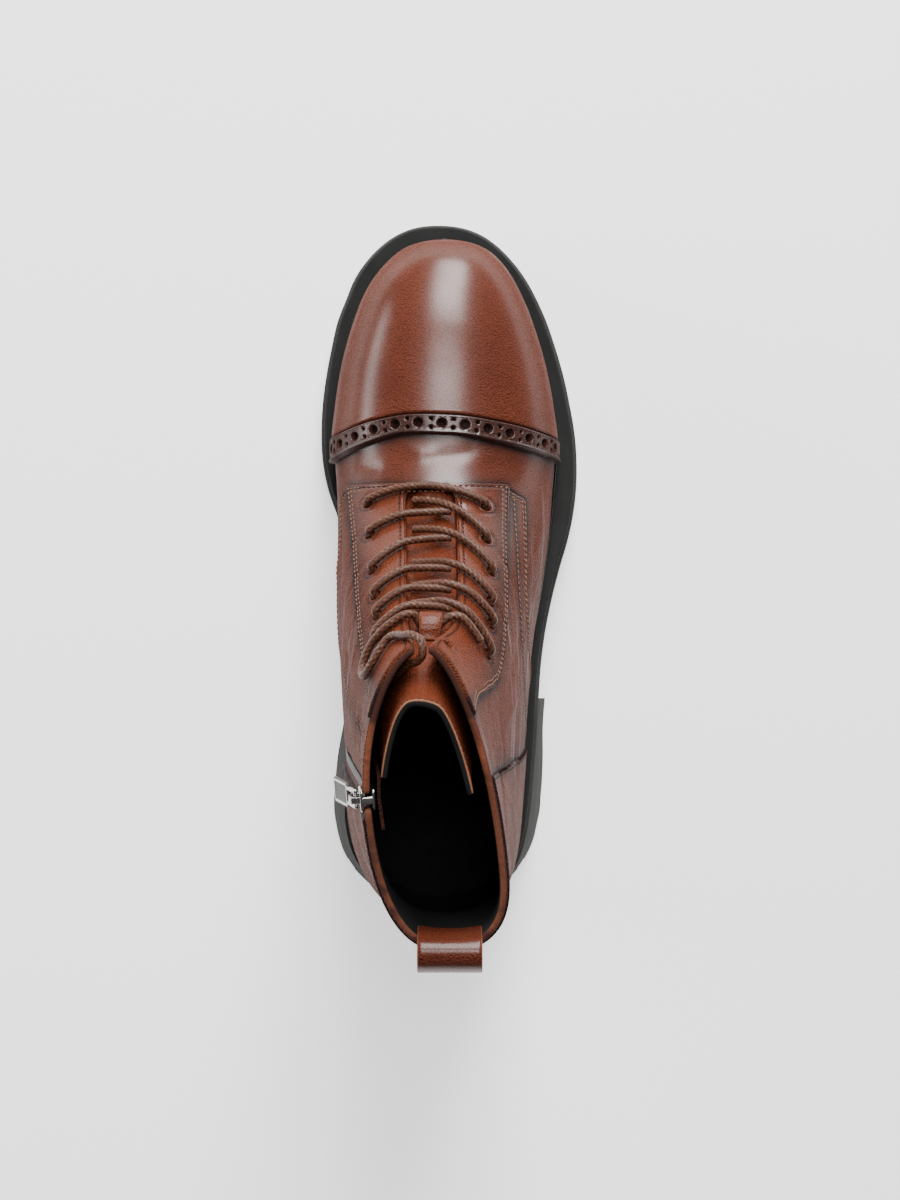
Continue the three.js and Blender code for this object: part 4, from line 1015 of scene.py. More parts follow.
class Finish:
    """A material's node tree, with one method for any node."""

    def __init__(self, name):
        self.material = bpy.data.materials.new(name)
        self.material.use_nodes = True
        self.tree = self.material.node_tree
        self.shader = next(n for n in self.tree.nodes if n.type == "BSDF_PRINCIPLED")
        self.place = self.add("ShaderNodeTexCoord", {}, output="Object")

    def add(self, kind, settings, *inputs, output=0, **named):
        node = self.tree.nodes.new(kind)
        for key, value in settings.items():
            setattr(node, key, value)
        for k, value in list(enumerate(inputs)) + list(named.items()):
            self.feed(node.inputs[k], value)
        return node.outputs[output]

    def feed(self, socket, value):
        if value is None:
            return
        value = value.socket if isinstance(value, Value) else value
        if isinstance(value, bpy.types.NodeSocket):
            self.tree.links.new(value, socket)
        elif isinstance(value, (tuple, list)) and len(value) == 3 and socket.type == "RGBA":
            socket.default_value = (*value, 1)
        else:
            socket.default_value = value

    def noise(self, scale, detail=2.0, rough=0.5, stretch=None, distortion=0.0):
        """Noise from 0 to 1; scale is in lumps per metre."""
        place = self.place if stretch is None else self.stretched(stretch)
        made = self.add(
            "ShaderNodeTexNoise", {}, Vector=place, Scale=scale, Detail=detail, Roughness=rough,
            Distortion=distortion,
        )
        return Value(self, made)

    def stretched(self, sizes):
        return self.add("ShaderNodeVectorMath", {"operation": "MULTIPLY"}, self.place, tuple(sizes))

    def cells(self, scale, smooth):
        """Rounded cells; scale is in cells per metre."""
        made = self.add(
            "ShaderNodeTexVoronoi", {"feature": "SMOOTH_F1"}, Vector=self.place, Scale=scale,
            Smoothness=smooth,
        )
        return Value(self, made)

    def painted(self, name):
        """A number painted on the mesh."""
        return Value(self, self.add("ShaderNodeAttribute", {"attribute_name": name}, output="Fac"))

    def mix(self, share, first, second):
        """A colour between two others."""
        node = self.tree.nodes.new("ShaderNodeMix")
        node.data_type = "RGBA"
        self.feed(node.inputs[0], share)
        self.feed(node.inputs[6], first)
        self.feed(node.inputs[7], second)
        return node.outputs[2]

    def bump(self, height, strength, distance, before=None):
        return self.add(
            "ShaderNodeBump", {}, Strength=strength, Distance=distance, Height=height, Normal=before
        )

    def set(self, **sockets):
        for name, value in sockets.items():
            self.feed(self.shader.inputs[name.replace("_", " ")], value)
        return self.material


def leather(name, warm, brown, dark):
    """Burnished leather: warmer in clouds and where painted warm, darker by the painted burnish, which holds
    painted shade as well, with pores and fine wrinkles.
    """
    f = Finish(name)
    clouds = f.noise(38, 3, 0.55)
    mottle = f.noise(150, 3, 0.6)
    streak = f.noise(26, 4, 0.65, stretch=(9, 9, 1))
    burnish = f.painted("burnish")
    glow = f.painted("warm")
    fine = f.noise(900, 2, 0.6)
    polish = f.painted("polish")
    colour = f.mix((clouds * 1.6 - 0.3 + glow).clamp(), brown, warm)
    uneven = (mottle - 0.5) * 0.5 * burnish + (streak - 0.5) * 0.3 + (clouds - 0.5) * 0.45
    # The painted burnish darkens towards the dark colour: burnish, and painted shade along seams, under
    # overlays and just above the sole.
    shade = (burnish + uneven).clamp()
    colour = f.mix(shade, colour, dark)
    pores = f.cells(PEBBLES, 0.35)
    grain = fine * 0.35 - pores
    colour = f.mix((pores.step(0.25, 0.7) * 0.35), colour, (dark[0] * 0.6, dark[1] * 0.6, dark[2] * 0.6))
    wrinkle = f.noise(210, 4, 0.62, distortion=0.6)
    walls = 1.0 - polish
    creased = f.noise(26, 4, 0.7, stretch=(1, 0.4, 8)) * walls
    relief = f.bump(wrinkle, 0.25, 0.0006)
    relief = f.bump(creased, 0.5, 0.0010, relief)
    relief = f.bump(grain, 1.0, 0.0007, relief)
    rough = 0.5 + mottle * 0.16 + pores * 0.1
    return f.set(
        Base_Color=colour, Roughness=rough.clamp(), Normal=relief,
        Coat_Weight=(polish * (0.75 + clouds * 0.5 - mottle * 0.2) + creased.step(0.5, 0.72) * 0.3).clamp(),
        Coat_Roughness=0.27,
        Specular_IOR_Level=0.06,
    )


def raw_edge(name, pale, dark):
    """The cut edge of leather: fibrous, dry, and darkened by stain patches and by the painted burnish, which
    carries painted shade too.
    """
    f = Finish(name)
    fibre = f.noise(700, 4, 0.7)
    patches = f.noise(120, 2, 0.6)
    stain_and_shade = (patches.step(0.45, 0.7) * 0.5 + f.painted("burnish")).clamp()
    colour = f.mix((fibre * 1.2 - 0.1).clamp(), dark, pale)
    colour = f.mix(stain_and_shade, colour, (dark[0] * 0.45, dark[1] * 0.45, dark[2] * 0.5))
    return f.set(
        Base_Color=colour, Roughness=0.75, Normal=f.bump(fibre, 0.6, 0.0003), Specular_IOR_Level=0.2
    )


def lining_leather():
    """Black lining with a soft nap."""
    f = Finish("black_lining")
    nap = f.noise(1400, 3, 0.7)
    lumps = f.noise(60, 3, 0.5)
    colour = f.mix((nap * lumps * 1.4).clamp(), (0.004, 0.004, 0.004), (0.020, 0.020, 0.021))
    return f.set(
        Base_Color=colour, Roughness=0.95, Normal=f.bump(nap, 0.5, 0.0002), Specular_IOR_Level=0.08
    )


def rubber(name, base, pale, roughness, specular=0.08, speck=0.0):
    """Moulded rubber: nearly even, with a fine dusty skin."""
    f = Finish(name)
    dust = f.noise(70, 4, 0.6)
    skin_grain = f.noise(2600, 2, 0.6)
    colour = f.mix((dust * 1.3 - 0.25 + speck * skin_grain).clamp(), base, pale)
    rough = (roughness + (dust - 0.5) * 0.14).clamp()
    relief = f.bump(skin_grain, 0.25, 0.00008)
    return f.set(Base_Color=colour, Roughness=rough, Normal=relief, Specular_IOR_Level=specular)


def waxed_cord():
    """Round waxed braid, brown with pale flecks, and painted shade between the raised strands."""
    f = Finish("waxed_braid")
    fleck = f.painted("fleck")
    braid_valley_shade = f.painted("braid_valley_shade")
    patches = f.noise(220, 3, 0.6)
    # Darker between the strands: painted shade in the braid's valleys.
    colour = f.mix(braid_valley_shade, (0.020, 0.008, 0.005), (0.095, 0.034, 0.018))
    pale = (fleck * patches.step(0.45, 0.68) * 0.7).clamp()
    colour = f.mix(pale, colour, (0.30, 0.17, 0.11))
    wax = f.noise(3200, 2, 0.6)
    return f.set(
        Base_Color=colour, Roughness=(0.42 + 0.2 * patches).clamp(), Normal=f.bump(wax, 0.3, 0.0001),
        Coat_Weight=0.1, Coat_Roughness=0.3, Specular_IOR_Level=0.2,
    )


def thread(name, colour, pale):
    f = Finish(name)
    twist = f.noise(1800, 2, 0.6)
    return f.set(
        Base_Color=f.mix(twist, colour, pale), Roughness=0.7, Normal=f.bump(twist, 0.4, 0.0001),
        Specular_IOR_Level=0.15,
    )


def plated_metal(name, bright, dull, roughness, metallic=1.0):
    """Nickel plate with faint scratches."""
    f = Finish(name)
    scratch = f.noise(260, 5, 0.7, stretch=(1, 1, 6))
    colour = f.mix((scratch * 0.5).clamp(), bright, dull)
    rough = (roughness + 0.16 * scratch).clamp()
    return f.set(Base_Color=colour, Roughness=rough, Metallic=metallic, Normal=f.bump(scratch, 0.06, 0.0002))


WARM = (0.150, 0.030, 0.011)
BROWN = (0.088, 0.020, 0.010)
# DARK is the colour that burnish and painted shade darken the leather towards.
DARK = (0.018, 0.007, 0.006)
ORANGE = (0.165, 0.037, 0.014)
cap_leather = leather("burnished_leather", WARM, BROWN, DARK)
facing_leather = leather("facing_leather", ORANGE, WARM, DARK)
band_leather = leather("band_leather", (0.062, 0.019, 0.013), (0.044, 0.015, 0.011), (0.020, 0.008, 0.006))
cut_edge = raw_edge("cut_edge", (0.26, 0.078, 0.034), (0.085, 0.026, 0.014))
tan_edge = raw_edge("tan_edge", (0.28, 0.115, 0.052), (0.11, 0.042, 0.020))
dark_edge = raw_edge("dark_edge", (0.060, 0.024, 0.016), (0.026, 0.011, 0.008))
lining = lining_leather()
# The flange's rubber is darker than the tread's: black rubber, with painted shade for the welt's top that
# lies under the upper.
flange_rubber_shaded = rubber("flange_rubber_shaded", (0.015, 0.015, 0.015), (0.025, 0.025, 0.024), 0.7)
tread_rubber = rubber("tread_rubber", (0.032, 0.032, 0.030), (0.052, 0.051, 0.048), 0.75, 0.06, 0.15)
gloss_rubber = rubber("gloss_rubber", (0.005, 0.005, 0.005), (0.009, 0.009, 0.009), 0.2, 0.4)
cord_finish = waxed_cord()
brown_thread = thread("brown_thread", (0.10, 0.040, 0.025), (0.26, 0.125, 0.08))
dark_thread = thread("dark_thread", (0.010, 0.005, 0.004), (0.030, 0.014, 0.010))
nickel = plated_metal("nickel_plate", (0.50, 0.49, 0.47), (0.26, 0.25, 0.24), 0.14)
# Nearly black metal for the zip teeth and the tab's middle plate: painted shade where the teeth lie hidden
# and where the tab's opening shows.
painted_shade_metal = plated_metal("painted_shade_metal", (0.045, 0.043, 0.041), (0.025, 0.024, 0.023), 0.4, 0.4)


# Leather panels
def side_runs(level, limit):
    """The parts of a region's edge that aren't the end of the form, region on the left."""
    runs = []
    for loop in contours(level):
        loop = np.vstack([loop, loop[:1]])
        good = (np.abs(level(face(*loop.T))) < limit) & off_seams(loop)
        cuts = np.flatnonzero(~good)
        for run in np.split(loop, cuts):
            run = run[1:] if len(run) else run
            if len(run) > 8:
                run = soft(spaced(run, 0.7), 3, closed=False)
                probe = Panel.offset(run, 1.0, closed=False)
                if np.median(level(face(*probe.T))) < 0:
                    run = run[::-1]
                runs.append(run)
    return runs


def off_seams(places):
    """Where (u, turn) isn't on the seam that closes the form or on its last section."""
    low, high = np.radians([-89.9, 269.9])
    return (places[:, 0] < LAST - 0.01) & (places[:, 1] > low) & (places[:, 1] < high)


def rows_on(runs, d, keep=None):
    """Lines moved d into a region, for stitches or grooves."""
    made = []
    for run in runs:
        line = Panel.offset(run, d, closed=False)
        if keep is not None:
            good = keep(face(*line.T))
            line = line[good]
        if len(line) > 6:
            made.append(line)
    return made


def foot_only(p):
    return above_sole(p, 5.5) > 0


def hole_rows(side):
    """Middles of the lace holes of one facing, toe to collar."""
    u = HOLES["um" if side == "medial" else "ul"]
    return u, turn_at(u, HOLES[side] * BALL)


def band_middle():
    """The middle line of the brogued band, outer side to inner side."""
    turns = np.radians(np.linspace(8, 172, 83))
    line = []
    for turn in turns:
        u = np.linspace(4.5, 8.5, 161)
        p = face(u, turn)
        level = -cap_line(CAP_FRONT, p) - cap_line(CAP_REAR, p) + 0.8
        line.append((np.interp(0, level, u), turn))
    return spaced(np.array(line), 0.5)


def along_line(line, share):
    k = share * (len(line) - 1)
    i = min(int(k), len(line) - 2)
    return line[i] + (line[i + 1] - line[i]) * (k - i)


def brogue_holes():
    line = band_middle()
    holes = []
    shares = np.linspace(0.035, 0.965, BROGUE_HOLES)
    for share in shares:
        holes.append(circle(*along_line(line, share), BROGUE_HOLE, 16))
    for share in (shares[:-1] + shares[1:]) / 2:
        k = int(share * (len(line) - 1))
        piece = line[k - 2 : k + 3]
        for d in (-PIN_HOLE_OFF, PIN_HOLE_OFF):
            place = Panel.offset(piece, d, closed=False)[2]
            holes.append(circle(*place, PIN_HOLE, 8))
    return holes


quarter_runs = side_runs(in_quarter, limit=4.0)
# A single row of stitches runs down the outer quarter behind its double one
inner_row = np.array([
    (8.55, 47.5), (9.16, 46), (9.9, 42.5), (10.72, 38), (11.33, 32.5),
    (12.17, 24), (12.8, 14), (13.0, 3), (12.9, -10), (12.85, -25),
]) * (1, math.pi / 180)
inner_row = soft(spaced(inner_row, 0.7), 30, closed=False)
upper = Panel(upper_level, lines=quarter_runs, pitch=1.75, edge=0.7, rings=(0.3, 0.8, 1.5), rounds=1)
cap = Panel(cap_level, last=9, pitch=1.3)
band = Panel(
    band_level, first=3, last=10, holes=brogue_holes(), pitch=0.9, edge=0.5,
    rings=(0.15, 0.35, 0.6, 0.9, 1.3),
)
facings = {}
for side_name in ("medial", "lateral"):
    lace_holes = [circle(u, t, LACE_HOLE) for u, t in zip(*hole_rows(side_name))]
    if side_name == "medial":
        lace_holes = lace_holes[:6]
    facings[side_name] = Panel(
        facing_level(side_name), low=0, high=180, first=7, holes=lace_holes, pitch=1.15, edge=0.5,
        rings=(0.15, 0.4, 0.75, 1.1, 1.5, 1.9, 2.4), rounds=4,
    )
counter = Panel(counter_level, low=90, high=450, first=9, pitch=1.45, edge=0.6, rounds=3)

# Where burnish and painted seam shade gather
seam_points = np.vstack(
    [face(*facings[s].loop.T) for s in facings]
    + [face(*run.T) for run in quarter_runs]
    + [face(*inner_row.T)]
    + [face(*counter.loop.T)]
    + [band.edge_line]
)


def burnish(points, extra=0.0):
    """Dark towards seams, the sole and the collar, pale on the open panels: burnish, and painted shade in a
    narrow line along each seam and just above the sole.
    """
    away, _ = nearest(points, seam_points)
    seams = 0.75 * np.exp(-((away / 1.5) ** 2)) + 0.35 * np.exp(-((away / 6) ** 2))
    foot = 0.6 * np.exp(-((above_sole(points, BEAD_HEIGHT) / 6) ** 2))
    collar = 0.12 * np.exp(-((under_collar(points) / 3) ** 2))
    return np.clip(np.maximum(seams, foot) + collar + extra, 0, 1)


def warmth(points):
    """Warmer, lighter tone on the instep's middle and on the facings near the throat."""
    middle = np.exp(-(((points[:, 0] + 2) / 22) ** 2))
    instep = smoothstep(points[:, 2], 0.35 * HEIGHT, 0.5 * HEIGHT) * smoothstep(points[:, 1], 40, 60)
    return 0.55 * middle * instep


away, _ = nearest(upper.points, np.vstack([face(*run.T) for run in quarter_runs]))
side_of = np.sign(in_quarter(upper.points))
t = np.clip(away / 0.7, 0, 1)
step_up = np.where(side_of > 0, QUARTER * np.sqrt(1 - (1 - t) ** 2), -0.18 * np.exp(-((away / 0.5) ** 2)))
row_away, _ = nearest(upper.points, face(*inner_row.T))
step_up = step_up - np.where(side_of > 0, 0.16 * np.exp(-(((away - 1.65) / 1.0) ** 2)), 0)
step_up = step_up - 0.22 * np.exp(-((row_away / 0.6) ** 2))
upper.top = step_up - 0.35 * (1 - np.clip(upper.away / 0.6, 0, 1)) ** 2
# Under the band and the facings the upper is painted dark and unpolished: painted shade that shows through
# their holes.
shade_under_overlays = smoothstep(np.maximum(band_level(upper.points), facing_level("medial")(upper.points)), -0.3, 0.3)
shade_under_overlays = np.maximum(shade_under_overlays, smoothstep(facing_level("lateral")(upper.points), -0.3, 0.3))
upper.build(
    "upper_leather",
    upper.top,
    -WALL + 0.3 * (1 - np.clip(upper.away / 0.8, 0, 1)) ** 2,
    [cap_leather, cut_edge, lining],
    {
        "burnish": np.maximum(burnish(upper.points), shade_under_overlays),
        "warm": warmth(upper.points),
        "polish": polished(upper.normals) * (1 - shade_under_overlays),
    },
    bulge=0.35,
    slot="leather_brown",
    replaces=("upper",),
)
# The cap is painted darker towards the sole: burnish, and painted shade on its low rim.
cap.build(
    "toe_cap_leather",
    round_edge(cap.away, GAP + OVERLAY, 1.0),
    np.full(len(cap.points), 0.05),
    [cap_leather, dark_edge, dark_edge],
    {
        "burnish": 0.85 * np.exp(-((above_sole(cap.points, BEAD_HEIGHT) / 11) ** 2)),
        "warm": 0.25 + 0 * cap.away,
    },
    slot="leather_brown",
    replaces=("toe_cap",),
)
lip = np.exp(-(((cap_line(CAP_REAR, band.points) - 0.9) / 0.75) ** 2))
groove = 0.3 * np.exp(-(((cap_line(CAP_REAR, band.points) - 2.1) / 0.4) ** 2))
band.build(
    "brogued_band",
    round_edge(band.away, GAP + BAND_OVERLAY, 0.55) + 0.45 * lip - groove,
    np.full(len(band.points), 0.05),
    [band_leather, dark_edge, dark_edge],
    {"burnish": 0.6 * lip, "warm": 0 * band.away},
    slot="leather_dark",
    replaces=("cap_band",),
)
for side_name, panel in facings.items():
    throat_away = np.abs(panel.points[:, 0] - between(THROAT, panel.points, side_name))
    outer_away = np.abs(panel.points[:, 0] - between(FACING, panel.points, side_name))
    collar_away = under_collar(panel.points)
    # Darker along the outer seam and the collar: burnish, and painted seam shade; a narrow painted shade line
    # runs in the stitch row's groove.
    dark = 0.75 * np.exp(-((outer_away / 7.5) ** 2)) + 0.3 * np.exp(-((collar_away / 3.5) ** 2))
    row_away = panel.away - FACING_ROWS[0]
    dark = dark + 0.3 * np.exp(-((outer_away / 1.2) ** 2)) + 0.5 * np.exp(-((row_away / 0.5) ** 2))
    front = 0.5 * smoothstep(panel.points[:, 1], 124, 134) * smoothstep(throat_away, 3, 12)
    panel.build(
        "facing_" + side_name,
        round_edge(panel.away, GAP + OVERLAY, 0.8, grooves=FACING_ROWS[:1], depth=0.2),
        np.full(len(panel.points), 0.05),
        [facing_leather, cut_edge, cut_edge],
        {
            "burnish": np.clip(np.maximum(dark, front), 0, 1),
            "warm": 0.75 * np.exp(-((throat_away / 9) ** 2)),
        },
        bulge=0.2,
        slot="leather_brown",
        replaces=("eyestay_" + side_name,),
    )
counter.build(
    "heel_counter",
    round_edge(counter.away, GAP + OVERLAY, 0.9, grooves=(COUNTER_ROW,), depth=0.15),
    np.full(len(counter.points), 0.05),
    [cap_leather, cut_edge, dark_edge],
    {"burnish": burnish(counter.points), "warm": 0 * counter.away},
    slot="leather_brown",
    replaces=("counter",),
)


# Stitching
def grain_template(sides=6, rings=3):
    """A small ellipsoid of unit half sizes."""
    points = [(-1, 0, 0)]
    for k in range(1, rings + 1):
        angle = math.pi * k / (rings + 1)
        for j in range(sides):
            turn = 2 * math.pi * j / sides
            reach = math.sin(angle)
            points.append((-math.cos(angle), reach * math.cos(turn), reach * math.sin(turn)))
    points.append((1, 0, 0))
    faces = []
    last = len(points) - 1
    for j in range(sides):
        n = (j + 1) % sides
        faces.append((0, 1 + n, 1 + j))
        for k in range(rings - 1):
            a, b = 1 + k * sides + j, 1 + k * sides + n
            faces += [(a, b, b + sides), (a, b + sides, a + sides)]
        top = 1 + (rings - 1) * sides
        faces.append((top + j, top + n, last))
    return np.array(points), np.array(faces)


def scatter(template, faces, centres, ways, outs, sizes):
    """Copies of a template with its x along ways and its z along outs."""
    ways = unit(ways)
    outs = unit(outs - (outs * ways).sum(-1, keepdims=True) * ways)
    across = np.cross(outs, ways)
    sizes = np.broadcast_to(np.asarray(sizes, float), (len(centres), 3))
    points = (
        centres[:, None]
        + template[None, :, :1] * (ways * sizes[:, :1])[:, None]
        + template[None, :, 1:2] * (across * sizes[:, 1:2])[:, None]
        + template[None, :, 2:] * (outs * sizes[:, 2:])[:, None]
    )
    n = len(template)
    every = (faces[None] + n * np.arange(len(centres))[:, None, None]).reshape(-1, faces.shape[1])
    return points.reshape(-1, 3), every


def stitch_rows(name, rows, finish, pitch=STITCH_PITCH, size=(0.82, 0.36, 0.32)):
    """rows are (line, height off the form, small tilt of each stitch)."""
    centres = []
    ways = []
    outs = []
    for line, off, tilt in rows:
        line = spaced(line, pitch)
        points = face(*line.T)
        n = normal(*line.T)
        way = unit(np.gradient(points, axis=0))
        side = np.cross(n, way)
        centres.append(points + n * (off + CREASES.rise(points))[:, None])
        ways.append(way + side * tilt)
        outs.append(n)
    template, faces = grain_template()
    points, faces = scatter(template, faces, np.vstack(centres), np.vstack(ways), np.vstack(outs), size)
    return make(name, points, [(faces, 0)], [finish], slot="leather_dark", sharp=180)


overlay_off = GAP + OVERLAY - 0.08
band_off = GAP + BAND_OVERLAY - 0.05
outer_rows = []
inner_rows = []
for side_name, panel in facings.items():

    def by_seam(p, side=side_name):
        return (np.abs(p[..., 0] - between(FACING, p, side)) < 5.5) & (p[..., 1] < FACING_FRONT * LENGTH - 1)

    for d in FACING_ROWS:
        run_list = panel.inset_line(d, lambda p: by_seam(p) & (under_collar(p) > 4))
        outer_rows += [(run, overlay_off, 0.12) for run in run_list]
    run_list = panel.inset_line(FACING_ROWS[0], lambda p: ~by_seam(p) & (under_collar(p) > 2.2))
    inner_rows += [(run, overlay_off, 0.05) for run in run_list]
stitch_rows("facing_stitches", outer_rows, brown_thread)
stitch_rows("throat_stitches", inner_rows, dark_thread, size=(0.75, 0.27, 0.24))
rows = []
for d in QUARTER_ROWS:
    rows += [(line, QUARTER - 0.05, 0.1) for line in rows_on(quarter_runs, d, foot_only)]
rows.append((inner_row, QUARTER - 0.05, 0.1))
stitch_rows("quarter_stitches", rows, brown_thread)
rows = []
for run in counter.inset_line(COUNTER_ROW, lambda p: (above_sole(p, 5.5) > 0) & (under_collar(p) > 4.5)):
    rows.append((run, overlay_off, 0.1))
stitch_rows("counter_stitches", rows, dark_thread, size=(0.8, 0.3, 0.26))
rows = []
for run in band.inset_line(BAND_ROWS[0], lambda p: (cap_line(CAP_REAR, p) > 4) & (above_sole(p, 4.6) > 0)):
    rows.append((run, band_off, 0.0))
for run in band.inset_line(BAND_ROWS[1], lambda p: (cap_line(CAP_REAR, p) < 4) & (above_sole(p, 4.6) > 0)):
    rows.append((run, band_off, 0.0))
stitch_rows("band_stitches", rows, dark_thread, pitch=1.9, size=(0.62, 0.26, 0.2))


# Cords
def smooth_path(points, step=0.4, closed=False):
    """Centripetal Catmull-Rom through points, evenly sampled."""
    points = np.asarray(points, float)
    if closed:
        padded = np.vstack([points[-1:], points, points[:2]])
    else:
        padded = np.vstack([2 * points[0] - points[1], points, 2 * points[-1] - points[-2]])
    made = []
    for p0, p1, p2, p3 in zip(padded[:-3], padded[1:-2], padded[2:-1], padded[3:]):
        t1 = np.linalg.norm(p1 - p0) ** 0.5
        t2 = t1 + np.linalg.norm(p2 - p1) ** 0.5
        t3 = t2 + np.linalg.norm(p3 - p2) ** 0.5
        t = np.linspace(t1, t2, 24, endpoint=False)[:, None]
        a1 = (t1 - t) / t1 * p0 + t / t1 * p1
        a2 = (t2 - t) / (t2 - t1) * p1 + (t - t1) / (t2 - t1) * p2
        a3 = (t3 - t) / (t3 - t2) * p2 + (t - t2) / (t3 - t2) * p3
        b1 = (t2 - t) / t2 * a1 + t / t2 * a2
        b2 = (t3 - t) / (t3 - t1) * a2 + (t - t1) / (t3 - t1) * a3
        made.append((t2 - t) / (t2 - t1) * b1 + (t - t1) / (t2 - t1) * b2)
    made = np.vstack([*made, points[:1] if closed else points[-1:]])
    at = np.concatenate([[0], np.cumsum(np.linalg.norm(np.diff(made, axis=0), axis=1))])
    wanted = np.linspace(0, at[-1], max(int(at[-1] / step), 4) + 1)
    if closed:
        wanted = wanted[:-1]
    return np.stack([np.interp(wanted, at, column) for column in made.T], -1)


def frames_along(path):
    """Directions along a path, and two across it that don't twist."""
    ways = unit(np.gradient(path, axis=0))
    side = unit(np.cross(ways[0], (0.3, 0.2, 1.0)))
    sides = []
    for way in ways:
        side = unit(side - (side @ way) * way)
        sides.append(side)
    sides = np.array(sides)
    return ways, sides, np.cross(ways, sides)


def tube_faces(rings, sides, closed=False):
    """Quads of a tube of rings, closed at its ends by fans unless it is a loop."""
    k = np.arange(rings if closed else rings - 1)[:, None]
    j = np.arange(sides)[None]
    a = k * sides + j
    b = k * sides + (j + 1) % sides
    after = ((k + 1) % rings) * sides
    quads = np.stack([a, b, after + (j + 1) % sides, after + j], -1).reshape(-1, 4)
    if closed:
        return [(quads, 0)]
    j = np.arange(sides)
    last = (rings - 1) * sides
    start = np.stack([np.full(sides, rings * sides), (j + 1) % sides, j], -1)
    end = np.stack([np.full(sides, rings * sides + 1), last + j, last + (j + 1) % sides], -1)
    return [(quads, 0), (np.vstack([start, end]), 0)]


def braid(name, paths, **words):
    """Waxed round braid along each path, with the strands' crossings raised."""
    sides = 16
    points = []
    groups = []
    flecks = []
    strands = []
    for path in paths:
        _, side, up = frames_along(path)
        at = np.linspace(0, length_of(path), len(path))[:, None]
        angle = np.linspace(0, 2 * math.pi, sides, endpoint=False)[None]
        lay = 2 * math.pi / 9.5
        first = np.cos(4 * (angle + lay * at))
        second = np.cos(4 * (angle - lay * at))
        weave = np.maximum(first, second)
        radius = LACE / 2 * (0.955 + 0.05 * weave)
        ring = side[:, None] * np.cos(angle)[..., None] + up[:, None] * np.sin(angle)[..., None]
        tube = path[:, None] + ring * radius[..., None]
        start = sum(len(p) for p in points)
        points.append(np.vstack([tube.reshape(-1, 3), path[:1], path[-1:]]))
        groups += [(faces + start, 0) for faces, _ in tube_faces(len(path), sides)]
        fleck = np.clip(second, 0, 1) * (np.sin(2.9 * at + 2 * angle) > -0.2)
        flecks.append(np.append(fleck.ravel(), [0, 0]))
        # 1 on the strands' raised crossings, 0 between them, where the finish paints shade.
        strands.append(np.append((0.5 + 0.5 * weave).ravel(), [0, 0]))
    values = {"fleck": np.concatenate(flecks), "braid_valley_shade": np.concatenate(strands)}
    quads = np.vstack([faces for faces, _ in groups if faces.shape[1] == 4])
    fans = np.vstack([faces for faces, _ in groups if faces.shape[1] == 3])
    return make(name, np.vstack(points), [(quads, 0), (fans, 0)], [cord_finish], values, slot="lace_waxed",
                sharp=180, **words)


OVER = GAP + OVERLAY + 1.6 * GAP + LACE / 2


def strand_path(k, side):
    """One half of a crossing: from under a facing's edge to its hole on the other side."""
    edge = LACE / 2 + 1.2
    bow = 1.8 + 0.16 * k
    inner = -0.1143 * BALL + edge
    outer = 0.074 * BALL - edge
    start_u = HOLES["um"][k - 1] - 0.06
    end_u, end_x = HOLES["ul"][k], HOLES["lateral"][k] * BALL
    start_x = inner
    if side < 0:
        share = (outer - inner) / (end_x - inner)
        start_u = start_u + (end_u - start_u) * share**bow + 0.05
        start_x = outer
        end_u, end_x = HOLES["um"][k], HOLES["medial"][k] * BALL
    if side > 0:
        steps = [(0, 0.3), (0.2, 0.9), (0.45, OVER - 0.9), (0.68, OVER)]
    else:
        steps = [(0, 0.9), (0.15, 1), (0.38, 1.8), (0.62, OVER)]
    steps += [(0.9, OVER), (0.985, OVER - 0.4), (1, OVER - 2), (1, -0.4)]
    t, lift = np.array(steps, float).T
    return on_top(start_u + (end_u - start_u) * t**bow, start_x + (end_x - start_x) * t, lift)


def first_bar():
    t = np.array([0, 0, 0.015, 0.1, 0.28, 0.5, 0.72, 0.9, 0.985, 1, 1])
    rise = [-0.4, OVER - 2, OVER - 0.4, OVER + 0.2, OVER + 0.3, OVER]
    lift = np.array(rise + rise[-2::-1])
    u = HOLES["um"][0] + (HOLES["ul"][0] - HOLES["um"][0]) * t - 0.45 * np.sin(math.pi * t)
    return on_top(u, (HOLES["medial"][0] + (HOLES["lateral"][0] - HOLES["medial"][0]) * t) * BALL, lift)


braid("lace_bar", [smooth_path(first_bar())], replaces=("lace_row_1",))
for k in range(1, 6):
    crossing = [smooth_path(strand_path(k, 1)), smooth_path(strand_path(k, -1))]
    braid("lace_crossing_" + str(k), crossing, replaces=("lace_row_" + str(k + 1),))

TONGUE_MIDDLE = -0.018 * BALL
UNDER_FACING = -WALL - 2.5 * GAP


def tongue_fall(u):
    return smoothstep(u, 12.5, 20.5)


def tongue_ends(u):
    """Turns of the tongue's two side edges."""
    fall = tongue_fall(u)
    half = 0.172 * BALL
    start = turn_at(u, TONGUE_MIDDLE + half) * (1 - fall) + math.radians(38) * fall
    end = turn_at(u, TONGUE_MIDDLE - half) * (1 - fall) + math.radians(155) * fall
    return float(start), float(end)


def tongue_move(p, u, turn):
    """Leans the tongue's top back and opens it into an arch."""
    fall = tongue_fall(u)
    start, end = tongue_ends(u)
    share = (turn - start) / (end - start)
    spread = TONGUE_OPEN * (1 - smoothstep(share, 0.3, 0.62))
    p = p.copy()
    p[..., 0] = TONGUE_MIDDLE + (p[..., 0] - TONGUE_MIDDLE) * (1 - 0.24 * fall) - 0.024 * BALL * fall
    p[..., 0] += spread * fall**2
    p[..., 1] += TONGUE_ROUND * smoothstep(share, 0.35, 0.8) * fall**2 - TONGUE_LEAN * fall
    return p


KEEPER_U = 14.35


